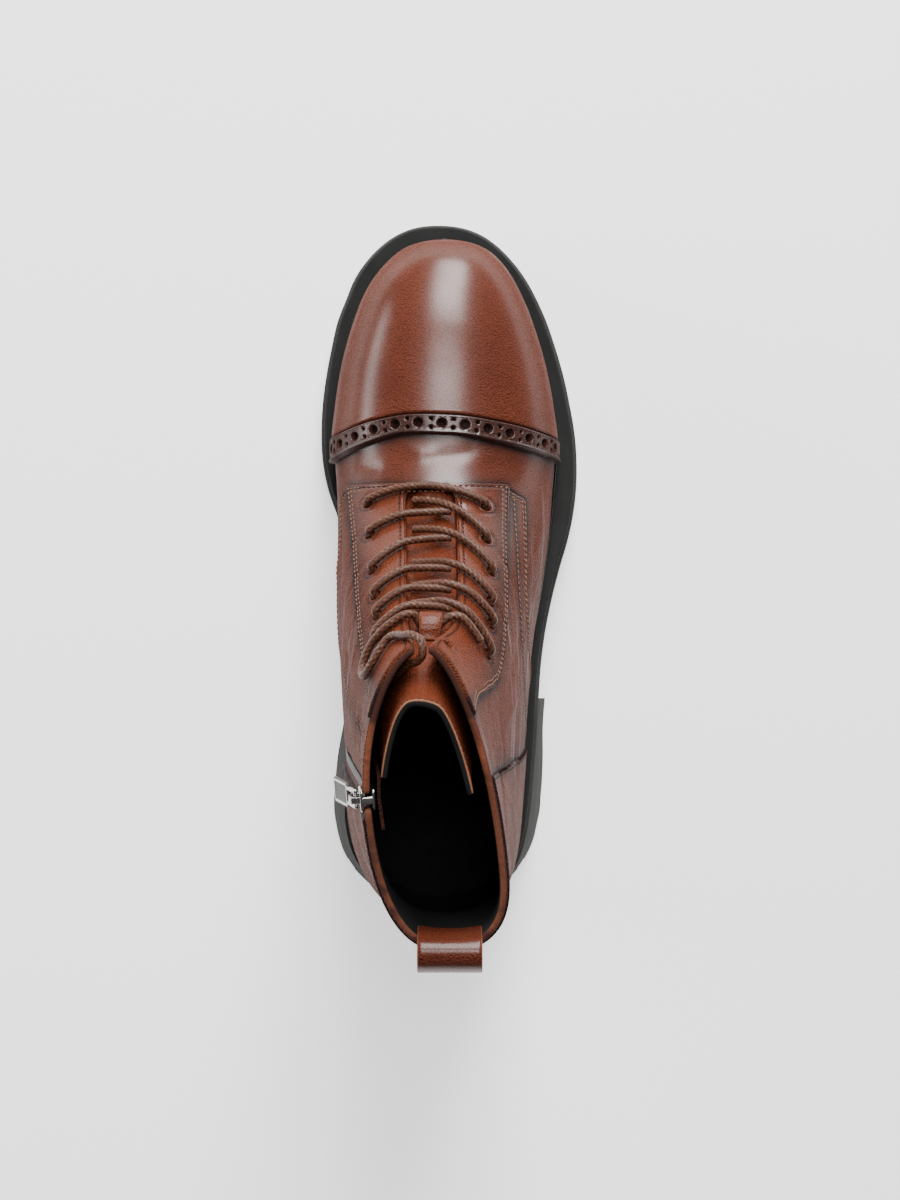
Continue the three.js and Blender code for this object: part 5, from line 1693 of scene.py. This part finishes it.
def keeper_point(x):
    turn = turn_at(KEEPER_U, x)
    place = skin(np.array(KEEPER_U), turn, np.array(UNDER_FACING + GAP + LACE / 2 + 3 * GAP))
    return tongue_move(place, KEEPER_U, turn)


def bow_points():
    """The free lace: out of the outer facing, through the keeper, round its loop and down by the tongue."""
    beside = -WALL - LACE / 2 - 3 * GAP

    def at(u, x, off):
        return on_top(np.array(float(u)), x * BALL, np.array(float(off)))

    points = [at(u, x, OVER + 0.3) for u, x in zip(BOW["u"], BOW["x"])]
    points.append(at(KEEPER_U, 0.038, 2.2))
    points += [keeper_point(x * BALL) for x in (0.006, -0.024, -0.052)]
    points.append(at(KEEPER_U + 0.04, -0.073, 1.9))
    points += [at(u, x, OVER) for u, x in zip(BOW_LOOP["u"], BOW_LOOP["x"])]
    points += [at(17.3, -0.073, OVER), at(17.8, -0.05, 1.4), at(18.0, -0.051, -3.4)]
    points += [at(17.95, -0.085, beside - 0.6), at(17.8, -0.13, beside), at(17.4, -0.17, beside)]
    points.append(at(16.9, -0.2, beside))
    return points


bow_path = smooth_path(bow_points())
bow = braid("lace_bow_braid", [bow_path], replaces=("lace_bow",))


# Soft strips of the form
def strip(name, high, low, materials, rims=3, bulge=0.5, raw=4, polish=0.0, **words):
    """A closed strip between two grids of points; raw of its rim's bands show the cut edge."""
    rows, cols = high.shape[:2]
    ids = np.arange(rows * cols).reshape(rows, cols)
    a, b, c, d = ids[:-1, :-1], ids[:-1, 1:], ids[1:, 1:], ids[1:, :-1]
    quads = np.stack([a, b, c, d], -1).reshape(-1, 4)
    border = np.concatenate([ids[0, :], ids[1:, -1], ids[-1, -2::-1], ids[-2:0:-1, 0]])
    n = rows * cols
    flat_high = high.reshape(-1, 3)
    flat_low = low.reshape(-1, 3)
    centre = (flat_high[border] + flat_low[border]) / 2
    half = (flat_high[border] - flat_low[border]) / 2
    ahead = np.roll(centre, -1, 0) - np.roll(centre, 1, 0)
    out = unit(np.cross(ahead, half)) * np.linalg.norm(half, axis=1, keepdims=True)
    inward = flat_high.mean(0) - centre
    if (out * inward).sum() > 0:
        out = -out
    points = [flat_high, flat_low]
    ring = [border]
    for k in range(1, rims + 1):
        angle = math.pi * k / (rims + 1)
        points.append(centre + half * math.cos(angle) + out * math.sin(angle) * bulge)
        ring.append(2 * n + (k - 1) * len(border) + np.arange(len(border)))
    ring.append(border + n)
    rim = []
    for first, second in zip(ring, ring[1:]):
        rim.append(np.stack([first, second, np.roll(second, -1), np.roll(first, -1)], -1))
    groups = [(quads, 0), (np.vstack(rim[:raw]), 1), (np.vstack([quads[:, ::-1] + n, *rim[raw:]]), 2)]
    cross = np.cross(high[1, 0] - high[0, 0], high[0, 1] - high[0, 0])
    if (cross * (high[0, 0] - low[0, 0])).sum() > 0:
        groups = [(faces[:, ::-1], kind) for faces, kind in groups]
    points = np.vstack(points)
    return make(name, points, groups, materials, {"polish": np.full(len(points), polish)}, **words)


def tongue_grid(us, off, count=44):
    rows = []
    for u in us:
        turns = np.linspace(*tongue_ends(u), count)
        rows.append(tongue_move(skin(np.full(count, u), turns, np.full(count, off)), u, turns))
    return np.array(rows)


tongue_us = np.concatenate([np.linspace(7.6, 20.3, 110), [20.42, 20.52, 20.6]])
tongue_high = tongue_grid(tongue_us, UNDER_FACING)
tongue_low = tongue_grid(tongue_us, UNDER_FACING - TONGUE)
strip(
    "tongue_leather", tongue_high, tongue_low, [facing_leather, tan_edge, lining],
    rims=5, raw=2, polish=0.15, slot="leather_brown", replaces=("tongue",),
)

# A row of stitches runs round the tongue's top, a little in from its edge
row_u = np.concatenate([np.linspace(15.6, 20.1, 60), np.full(60, 20.3), np.linspace(20.1, 15.6, 60)])
row_share = np.concatenate([np.full(60, 0.07), np.linspace(0.1, 0.9, 60), np.full(60, 0.93)])


def tongue_place(u, share, off):
    start, end = tongue_ends(u)
    turn = np.array([start + (end - start) * share])
    return tongue_move(skin(np.array([u]), turn, np.array([off])), u, turn)[0]


row_low = np.array([tongue_place(u, share, UNDER_FACING - 0.5) for u, share in zip(row_u, row_share)])
row_high = np.array([tongue_place(u, share, UNDER_FACING + 0.06) for u, share in zip(row_u, row_share)])
row_at = np.concatenate([[0], np.cumsum(np.linalg.norm(np.diff(row_high, axis=0), axis=1))])
stitch_at = np.arange(1.0, row_at[-1], 2.1)
stitch_high, stitch_low = (
    np.stack([np.interp(stitch_at, row_at, column) for column in line.T], -1)
    for line in (row_high, row_low)
)
points, faces = scatter(
    *grain_template(), stitch_high, np.gradient(stitch_high, axis=0), stitch_high - stitch_low,
    (0.72, 0.28, 0.24),
)
make("tongue_stitches", points, [(faces, 0)], [dark_thread], slot="leather_dark", sharp=180)

keeper_half = KEEPER / 2 / 9
keeper_t = np.linspace(-1, 1, 25)


def keeper_grid(lift):
    rows = []
    for t in keeper_t:
        u = KEEPER_U + keeper_half * t
        turns = np.linspace(turn_at(u, 0.012 * BALL), turn_at(u, -0.053 * BALL), 12)
        off = UNDER_FACING + GAP + (LACE + 9 * GAP) * math.sqrt(max(1 - t * t, 0)) + lift
        rows.append(tongue_move(skin(np.full(12, u), turns, np.full(12, off)), u, turns))
    return np.array(rows)


strip(
    "keeper_strap", keeper_grid(OVERLAY), keeper_grid(0), [facing_leather, cut_edge, facing_leather],
    polish=0.3, slot="leather_brown", replaces=("lace_keeper",),
)


# Pull loop
def back_y(z):
    u = np.linspace(15, 21, 121)
    p = face(u, np.full(121, -math.pi / 2))
    return float(np.interp(z, p[:, 2], p[:, 1]))


loop_z = float(collar_z(-0.12 * LENGTH))
loop_back = back_y(loop_z)
loop_line = smooth_path(
    [
        (0, back_y(loop_z - 34) - GAP - LOOP_THICK, loop_z - 34),
        (0, back_y(loop_z - 26) - GAP - LOOP_THICK, loop_z - 26),
        (0, loop_back - LOOP_REACH * 0.8, loop_z - 14),
        (0, loop_back - LOOP_REACH, loop_z - 4),
        (0, loop_back - LOOP_REACH * 0.55, loop_z + 4.5),
        (0, loop_back + 1, loop_z + 5),
        (0, loop_back + WALL + GAP + LOOP_THICK, loop_z),
        (0, loop_back + WALL + GAP + LOOP_THICK + 0.6, loop_z - 12),
    ],
    0.8,
)
loop_ways = unit(np.gradient(loop_line, axis=0))
loop_out = np.cross((1.0, 0.0, 0.0), loop_ways)
loop_x = np.linspace(-LOOP_WIDTH / 2, LOOP_WIDTH / 2, 20)
loop_share = np.linspace(0, 1, len(loop_line))
loop_hug = np.clip(1 - loop_share / 0.3, 0, 1) + 0.5 * np.clip((loop_share - 0.7) / 0.3, 0, 1)


def loop_grid(side):
    x = np.broadcast_to(loop_x[None], (len(loop_line), len(loop_x)))
    grid = np.repeat((loop_line + loop_out * side * LOOP_THICK / 2)[:, None], len(loop_x), 1)
    grid[..., 0] = x + 0.045 * BALL
    grid[..., 1] += loop_hug[:, None] * x**2 / 60
    return grid


strip(
    "pull_loop_strap", loop_grid(-1), loop_grid(1), [cap_leather, cut_edge, cap_leather],
    polish=0.7, slot="leather_brown", replaces=("pull_loop",),
)


# Rubber sole
def closed_outline(rows, inset, step):
    """The smooth outline of a sole piece moved in by inset, anticlockwise from above."""
    lateral = np.stack([rows["lateral"] * BALL, rows["y"] * LENGTH], -1)
    medial = np.stack([rows["medial"] * BALL, rows["y"] * LENGTH], -1)[::-1]
    if abs(lateral[-1, 0] - medial[0, 0]) > 1:
        back = smooth_path(np.vstack([medial[:-1], lateral]), step)
        ahead = unit(np.gradient(back, axis=0))
        front = back[0, 1] - inset
        back = back - np.stack([ahead[:, 1], -ahead[:, 0]], -1) * inset
        low = back[:, 1].min()
        back[:, 1] = low + (back[:, 1] - low) * (front - low) / (back[0, 1] - low)
        return back
    loop = np.vstack([lateral, medial])
    loop = loop[np.linalg.norm(loop - np.roll(loop, 1, 0), axis=1) > 1e-3]
    loop = smooth_path(loop, step, closed=True)
    ahead = unit(np.roll(loop, -1, 0) - np.roll(loop, 1, 0))
    return loop - np.stack([ahead[:, 1], -ahead[:, 0]], -1) * inset


def slab(name, rows, layers, materials, step=2.0, **words):
    """A flat piece from an outline: layers are (inset, height function), upwards."""
    base = closed_outline(rows, 0.0, step)
    rings = [
        np.column_stack([closed_outline(rows, inset, step), height(base[:, 1])])
        for inset, height in layers
    ]
    n = len(base)
    quads = tube_faces(len(rings), n)[0][0]
    low = fill(rings[0][:, :2], [n])[:, ::-1]
    high = fill(rings[-1][:, :2], [n]) + (len(rings) - 1) * n
    caps = [low, high]
    return make(name, np.vstack(rings), [(quads, 0), (np.vstack(caps), 0)], materials, sharp=35, **words)


def boxes_mesh(boxes):
    """One cutter from boxes given as (sizes, centre, turn about Z)."""
    corner = np.array([(x, y, z) for x in (-0.5, 0.5) for y in (-0.5, 0.5) for z in (-0.5, 0.5)])
    quads = np.array([(0, 1, 3, 2), (4, 6, 7, 5), (0, 4, 5, 1), (2, 3, 7, 6), (0, 2, 6, 4), (1, 5, 7, 3)])
    points = []
    for sizes, centre, angle in boxes:
        c, s = math.cos(angle), math.sin(angle)
        p = corner * sizes
        points.append(np.stack([p[:, 0] * c - p[:, 1] * s, p[:, 0] * s + p[:, 1] * c, p[:, 2]], -1) + centre)
    every = (quads[None] + 8 * np.arange(len(boxes))[:, None, None]).reshape(-1, 4)
    mesh = bpy.data.meshes.new("cutter")
    mesh.from_pydata((np.vstack(points) * MM).tolist(), [], every.tolist())
    cutter = bpy.data.objects.new("cutter", mesh)
    bpy.context.scene.collection.objects.link(cutter)
    return cutter


def carve(piece, boxes):
    """Cuts boxes out of a piece and keeps the result as its mesh."""
    cutter = boxes_mesh(boxes)
    modifier = piece.modifiers.new("carve", "BOOLEAN")
    modifier.operation = "DIFFERENCE"
    modifier.solver = "MANIFOLD"
    modifier.object = cutter
    bpy.context.view_layer.update()
    evaluated = piece.evaluated_get(bpy.context.evaluated_depsgraph_get())
    mesh = bpy.data.meshes.new_from_object(evaluated)
    piece.modifiers.clear()
    piece.data = mesh
    bpy.data.objects.remove(cutter)
    mesh.set_sharp_from_angle(angle=math.radians(35))
    return piece


slab(
    "midsole_flange", SOLE,
    [
        (RIM, lambda y: sole_top(y) - MIDSOLE + GAP),
        (RIM, lambda y: sole_top(y) - 1.2),
        (RIM + 0.25, lambda y: sole_top(y) - 0.45),
        (RIM + 0.8, lambda y: sole_top(y)),
        (RIM + 6.0, lambda y: sole_top(y) - 0.05),
    ],
    [flange_rubber_shaded], slot="rubber_flange", replaces=("midsole",),
)
outsole = slab(
    "outsole_tread", SOLE,
    [
        (2.0, sole_ground),
        (0.6, lambda y: sole_ground(y) + 0.7),
        (0.0, lambda y: sole_ground(y) + 2.0),
        (0.0, lambda y: sole_top(y) - MIDSOLE - 1.2),
        (0.25, lambda y: sole_top(y) - MIDSOLE - 0.5),
        (0.9, lambda y: sole_top(y) - MIDSOLE),
    ],
    [tread_rubber], slot="rubber_tread", replaces=("outsole",),
)
lugs = []
lug_pitch = 3.2 * LUG_GROOVE
for y in np.arange(0.4 * LENGTH, 0.84 * LENGTH, lug_pitch):
    top = float(sole_ground(y)) + LUG_DEPTH
    for hand in (-1, 1):
        centre = (hand * 0.3 * BALL, y, top - HEIGHT / 2)
        lugs.append(((0.44 * BALL, LUG_GROOVE, HEIGHT), centre, hand * 0.22))
carve(outsole, lugs)
heel = slab(
    "heel_block", HEEL,
    [
        (1.0, lambda y: 0 * y),
        (0.3, lambda y: 0 * y + 0.5),
        (0.0, lambda y: 0 * y + 1.5),
        (HEEL_FLARE * 0.5, lambda y: 1.5 + 0.5 * (sole_ground(y) - 1.5 - GAP)),
        (HEEL_FLARE, lambda y: sole_ground(y) - GAP),
    ],
    [tread_rubber], slot="rubber_tread", replaces=("heel",),
)
grooves = []
breast = HEEL["y"][-1] * LENGTH
for y in np.arange(-0.07 * LENGTH, breast - LUG_GROOVE, 1.4 * lug_pitch):
    for hand in (-1, 1):
        centre = (hand * 0.26 * BALL, y, LUG_DEPTH / 2 - 0.5)
        grooves.append(((0.2 * BALL, LUG_GROOVE, LUG_DEPTH + 1), centre, 0.0))
carve(heel, grooves)


def bead_ring():
    """The glossy bead: a flattened tube round the foot of the upper."""
    rise = GAP + BEAD_HEIGHT / 2
    loop = contours(lambda p: above_sole(p, rise))[0]
    free = off_seams(loop)
    runs = [run for run in np.split(loop, np.flatnonzero(~free)) if len(run) > 20]
    every = [face(*run[1:].T) + normal(*run[1:].T) * (GAP + BEAD_DEPTH / 2) for run in runs]
    points = np.vstack(every)
    centre = np.array([0.004 * LENGTH, 0.35 * LENGTH, 0])
    angle = np.arctan2(points[:, 1] - centre[1], points[:, 0] - centre[0])
    points = points[np.argsort(angle)]
    at = np.concatenate([[0], np.cumsum(np.linalg.norm(np.diff(points, axis=0), axis=1))])
    wanted = np.linspace(0, at[-1], 420, endpoint=False)
    path = np.stack([np.interp(wanted, at, points[:, k]) for k in range(3)], -1)
    for _ in range(6):
        path = (np.roll(path, 1, 0) + 2 * path + np.roll(path, -1, 0)) / 4
    ahead = unit(np.roll(path, -1, 0) - np.roll(path, 1, 0))
    out = unit(np.cross(ahead, (0, 0, 1.0)))
    up = np.cross(out, ahead)
    sides = 12
    angle = np.linspace(0, 2 * math.pi, sides, endpoint=False)
    ring = (
        path[:, None]
        + out[:, None] * (np.cos(angle) * (BEAD_DEPTH / 2 + 0.1))[None, :, None]
        + up[:, None] * (np.sin(angle) * BEAD_HEIGHT / 2)[None, :, None]
    )
    groups = [(faces[:, ::-1], kind) for faces, kind in tube_faces(len(path), sides, closed=True)]
    return make("gloss_bead", ring.reshape(-1, 3), groups, [gloss_rubber], slot="rubber_gloss",
                replaces=("bead",), sharp=180)


bead_ring()


# Zip
def inner_place(y, z):
    """Places on the form's inner side, by height and distance ahead."""
    cols = np.flatnonzero((TURNS > math.radians(130)) & (TURNS < math.radians(230)))
    near = GRID[:, cols]
    found = []
    for py, pz in zip(np.atleast_1d(y), np.atleast_1d(z)):
        miss = np.hypot(near[..., 1] - py, near[..., 2] - pz)
        i, j = np.unravel_index(miss.argmin(), miss.shape)
        u, turn = US[i], TURNS[cols[j]]
        for _ in range(12):
            ju = (face(u + 0.01, turn) - face(u - 0.01, turn)) / 0.02
            jt = (face(u, turn + 0.006) - face(u, turn - 0.006)) / 0.012
            miss_now = np.array([py, pz]) - face(u, turn)[1:]
            step = np.linalg.solve(np.stack([ju[1:], jt[1:]], -1), miss_now)
            u += 0.7 * step[0]
            turn += 0.7 * step[1]
        found.append((u, turn))
    return np.array(found)


def zip_y(z):
    return ZIP_FOOT[0] * LENGTH + (z - ZIP_FOOT[1] * HEIGHT) * ZIP_WAY[0] / ZIP_WAY[1]


zip_top = ZIP_HEAD[1] * HEIGHT
chain_z = np.linspace(ZIP_FOOT[1] * HEIGHT + 1.5, zip_top - SLIDER_LENGTH * 0.75, 90)
chain = inner_place(zip_y(chain_z), chain_z)
chain_points = face(*chain.T)
chain_at = np.concatenate([[0], np.cumsum(np.linalg.norm(np.diff(chain_points, axis=0), axis=1))])
teeth_at = np.arange(0, chain_at[-1], TOOTH_PITCH / 2)
teeth = np.stack([np.interp(teeth_at, chain_at, chain[:, k]) for k in (0, 1)], -1)
tooth_points = face(*teeth.T)
tooth_normals = normal(*teeth.T)
tooth_ways = unit(np.gradient(tooth_points, axis=0))
tooth_sides = np.cross(tooth_normals, tooth_ways)
hands = np.where(np.arange(len(teeth)) % 2 == 0, 1.0, -1.0)[:, None]
tooth_centres = tooth_points + tooth_sides * hands * 0.85 - tooth_normals * 0.75
template, template_faces = grain_template(8, 3)
template = np.sign(template) * np.abs(template) ** 0.45
points, tooth_faces = scatter(
    template, template_faces, tooth_centres, tooth_ways, tooth_normals, (0.42, 1.45, 0.62)
)
# The teeth take the nearly black metal: painted shade, as they lie hidden in the zip's gap.
make(
    "zip_teeth", points, [(tooth_faces, 0)], [painted_shade_metal], slot="zip_metal", replaces=("zip_chain",),
    sharp=60,
)


def tape_grid(off):
    across = np.linspace(-ZIP_CHAIN / 2 - 0.15, ZIP_CHAIN / 2 + 0.15, 9)
    n = normal(*chain.T)
    way = unit(np.gradient(chain_points, axis=0))
    side = np.cross(n, way)
    return chain_points[:, None] + side[:, None] * across[None, :, None] + (n * off)[:, None]


strip("zip_tape", tape_grid(-1.35), tape_grid(-ZIP_THICK), [lining] * 3, rims=1, slot="leather_lining")

head_z = zip_top - SLIDER_LENGTH / 2
head = inner_place(zip_y(head_z), head_z)[0]
head_point = face(*head)
outward = normal(*head)
lengthwise = np.array([0, *ZIP_WAY])
up_way = unit(lengthwise - (lengthwise @ outward) * outward)
across_way = np.cross(outward, up_way)


def rounded_outline(widths, length, radius, count=6):
    """A four-sided outline with round corners; widths are at its foot and its head."""
    low, high, half = widths[0] / 2, widths[1] / 2, length / 2
    corners = [(low, -half), (high, half), (-high, half), (-low, -half)]
    loop = []
    for k, corner in enumerate(corners):
        before = np.array(corners[k - 1]) - corner
        after = np.array(corners[(k + 1) % 4]) - corner
        a = np.array(corner) + before / np.linalg.norm(before) * radius
        b = np.array(corner) + after / np.linalg.norm(after) * radius
        for t in np.linspace(0, 1, count):
            loop.append(a * (1 - t) ** 2 + 2 * np.array(corner) * t * (1 - t) + b * t**2)
    return np.array(loop)


def plate_points(loop, thickness, bevel, origin, axes, kind=0):
    """A flat plate with softened edges; axes are its own x, y and thickness directions, kind its material."""
    ahead = unit(np.roll(loop, -1, 0) - np.roll(loop, 1, 0))
    out = np.stack([ahead[:, 1], -ahead[:, 0]], -1)
    rings = []
    for angle in np.linspace(-90, 90, 7):
        a = math.radians(angle)
        inset = bevel * (1 - math.cos(a))
        height = math.sin(a) * bevel + math.copysign(thickness / 2 - bevel, a) if angle else 0.0
        rings.append(np.column_stack([loop - out * inset, np.full(len(loop), height)]))
    local = np.vstack(rings)
    points = origin + local @ np.array(axes)
    n = len(loop)
    quads = tube_faces(len(rings), n)[0][0]
    tris = fill(loop, [n])
    caps = np.vstack([tris[:, ::-1], tris + (len(rings) - 1) * n])
    return points, quads, caps, kind


def solid_piece(name, parts, **words):
    """Several closed plates as one mesh."""
    groups = []
    start = 0
    for points, quads, caps, kind in parts:
        groups += [(quads + start, kind), (caps + start, kind)]
        start += len(points)
    points = np.vstack([part[0] for part in parts])
    return make(name, points, groups, [nickel, painted_shade_metal], slot="zip_metal", sharp=40, **words)


PLATE_TOP = GAP + SLIDER_PLATE
BRIDGE_BAR = 1.2
BRIDGE_LENGTH = 10.0
BRIDGE_WIDTH = 2.4
bridge_rise = EYE_BAR + 4 * GAP
slider_axes = (across_way, up_way, outward)
# Seen along the outward axis, across by up by outward turns the other way, so across is flipped
slider_axes = (-across_way, up_way, outward) if np.cross(across_way, up_way) @ outward < 0 else slider_axes
body_outline = rounded_outline((SLIDER_WIDTH * 0.8, SLIDER_WIDTH), SLIDER_LENGTH, 1.8)
plate_outer = head_point + outward * (GAP + SLIDER_PLATE / 2)
plate_inner = head_point - outward * (WALL + GAP + SLIDER_PLATE / 2)
side_axes = (up_way, outward, np.cross(up_way, outward))
arch = []
for a in np.linspace(0, math.pi, 15):
    reach = math.copysign(abs(math.cos(a)) ** 0.55, math.cos(a))
    arch.append((BRIDGE_LENGTH / 2 * reach, (bridge_rise + BRIDGE_BAR) * math.sin(a) ** 0.6))
for a in np.linspace(math.pi, 0, 15):
    reach = math.copysign(abs(math.cos(a)) ** 0.55, math.cos(a))
    arch.append(((BRIDGE_LENGTH / 2 - BRIDGE_BAR) * reach, bridge_rise * math.sin(a) ** 0.6 - 0.2))
arch = np.array(arch)
arch[:, 1] = np.maximum(arch[:, 1], -0.25)
nose_outline = rounded_outline((3.0, 3.0), 2.2, 0.6)
nose_centre = head_point + up_way * 0.42 * SLIDER_LENGTH - outward * (WALL - GAP) / 2
solid_piece(
    "zip_slider_body",
    [
        plate_points(body_outline, SLIDER_PLATE, 0.45, plate_outer, slider_axes),
        plate_points(body_outline, SLIDER_PLATE, 0.45, plate_inner, slider_axes),
        plate_points(nose_outline, WALL + 2 * GAP + 1.0, 0.3, nose_centre, slider_axes),
        plate_points(arch, BRIDGE_WIDTH, 0.3, head_point + outward * PLATE_TOP, side_axes),
    ],
    replaces=("zip_slider",),
)

hinge = head_point + outward * (PLATE_TOP + bridge_rise / 2) + up_way * 1.2
lean = math.radians(17)
tab_down = -up_way * math.cos(lean) + outward * math.sin(lean)
tab_out = np.cross(across_way, tab_down)
tab_foot = 0.33 * TAB_LENGTH
eye_length = 0.72 * TAB_WIDTH
leg_off = (eye_length - EYE_BAR) / 2
tab_axes = (across_way, tab_down, tab_out)
tab_parts = []
plate_length = TAB_LENGTH - tab_foot
tab_plate = rounded_outline((TAB_WIDTH * 0.94, TAB_WIDTH), plate_length, 1.6)
plate_centre = hinge + tab_down * ((tab_foot + TAB_LENGTH) / 2 - GAP)
# The middle plate takes the nearly black metal: a painted shade sheet in the tab's opening.
tab_parts.append(plate_points(tab_plate, TAB_THICK * 0.8, 0.35, plate_centre, tab_axes, kind=1))
for hand in (-1, 1):
    leg = rounded_outline((EYE_BAR, EYE_BAR), tab_foot + EYE_BAR, 0.5)
    centre = hinge + tab_down * (tab_foot / 2 - 0.1) + across_way * hand * leg_off
    tab_parts.append(plate_points(leg, EYE_BAR, 0.5, centre, tab_axes))
    rail = rounded_outline((1.1, 1.1), plate_length - 2.2, 0.5)
    centre = plate_centre + across_way * hand * (TAB_WIDTH / 2 - 1.1)
    tab_parts.append(plate_points(rail, TAB_THICK, 0.4, centre, tab_axes))
bar = rounded_outline((eye_length, eye_length), EYE_BAR, 0.6)
tab_parts.append(plate_points(bar, EYE_BAR, 0.6, hinge, tab_axes))
rail = rounded_outline((TAB_WIDTH - 2.2, TAB_WIDTH - 2.2), 1.1, 0.5)
for hand in (-1, 1):
    centre = plate_centre + tab_down * hand * (plate_length / 2 - 1.1)
    tab_parts.append(plate_points(rail, TAB_THICK, 0.4, centre, tab_axes))
solid_piece("zip_pull_tab", tab_parts, body="zip_tab", replaces=("zip_pull",))

for node, finish in (("insole", lining), ("zip_guard", band_leather)):
    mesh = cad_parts[node].data
    mesh.materials.clear()
    mesh.materials.append(finish)

# Floor, light and camera
floor_mesh = bpy.data.meshes.new("floor")
reach = 4.0
corners = [(-reach, -reach, 0), (reach, -reach, 0), (reach, reach, 0), (-reach, reach, 0)]
floor_mesh.from_pydata(corners, [], [(0, 1, 2, 3)])
floor = bpy.data.objects.new("floor", floor_mesh)
bpy.context.scene.collection.objects.link(floor)
paper = Finish("pale_floor")
floor_mesh.materials.append(
    paper.set(
        Base_Color=(0.93, 0.93, 0.93), Roughness=0.9, Emission_Color=(1.0, 1.0, 1.0), Emission_Strength=1.0
    )
)

world = bpy.data.worlds.new("studio")
bpy.context.scene.world = world
world.use_nodes = True
world.node_tree.nodes["Background"].inputs[0].default_value = (1, 1, 1, 1)
world.node_tree.nodes["Background"].inputs[1].default_value = 0.1


def soft_light(name, place, aim, size, power):
    lamp = bpy.data.lights.new(name, "AREA")
    lamp.shape = "RECTANGLE"
    lamp.size, lamp.size_y = size
    lamp.energy = power
    holder = bpy.data.objects.new(name, lamp)
    bpy.context.scene.collection.objects.link(holder)
    holder.location = place
    holder.rotation_euler = (Vector(aim) - Vector(place)).to_track_quat("-Z", "Y").to_euler()


soft_light("front_box", (0.2, 1.5, 1.0), (0, 0.12, 0.05), (0.6, 1.7), 70)
soft_light("overhead", (0.1, 0.45, 1.9), (0, 0.09, 0.05), (0.6, 0.5), 14)
soft_light("left_strip", (-1.2, 0.45, 0.5), (0, 0.12, 0.05), (0.9, 0.3), 8)

camera_data = bpy.data.cameras.new("camera")
camera_data.sensor_fit = "HORIZONTAL"
camera_data.sensor_width = 36
camera_data.lens = FOCAL_PIXELS / PHOTO_WIDTH * camera_data.sensor_width
camera_data.clip_start = 0.01
camera = bpy.data.objects.new("camera", camera_data)
bpy.context.scene.collection.objects.link(camera)
camera.location = (CAMERA_OVER[0] * MM, CAMERA_OVER[1] * MM, CAMERA_HEIGHT * MM)
bpy.context.scene.camera = camera
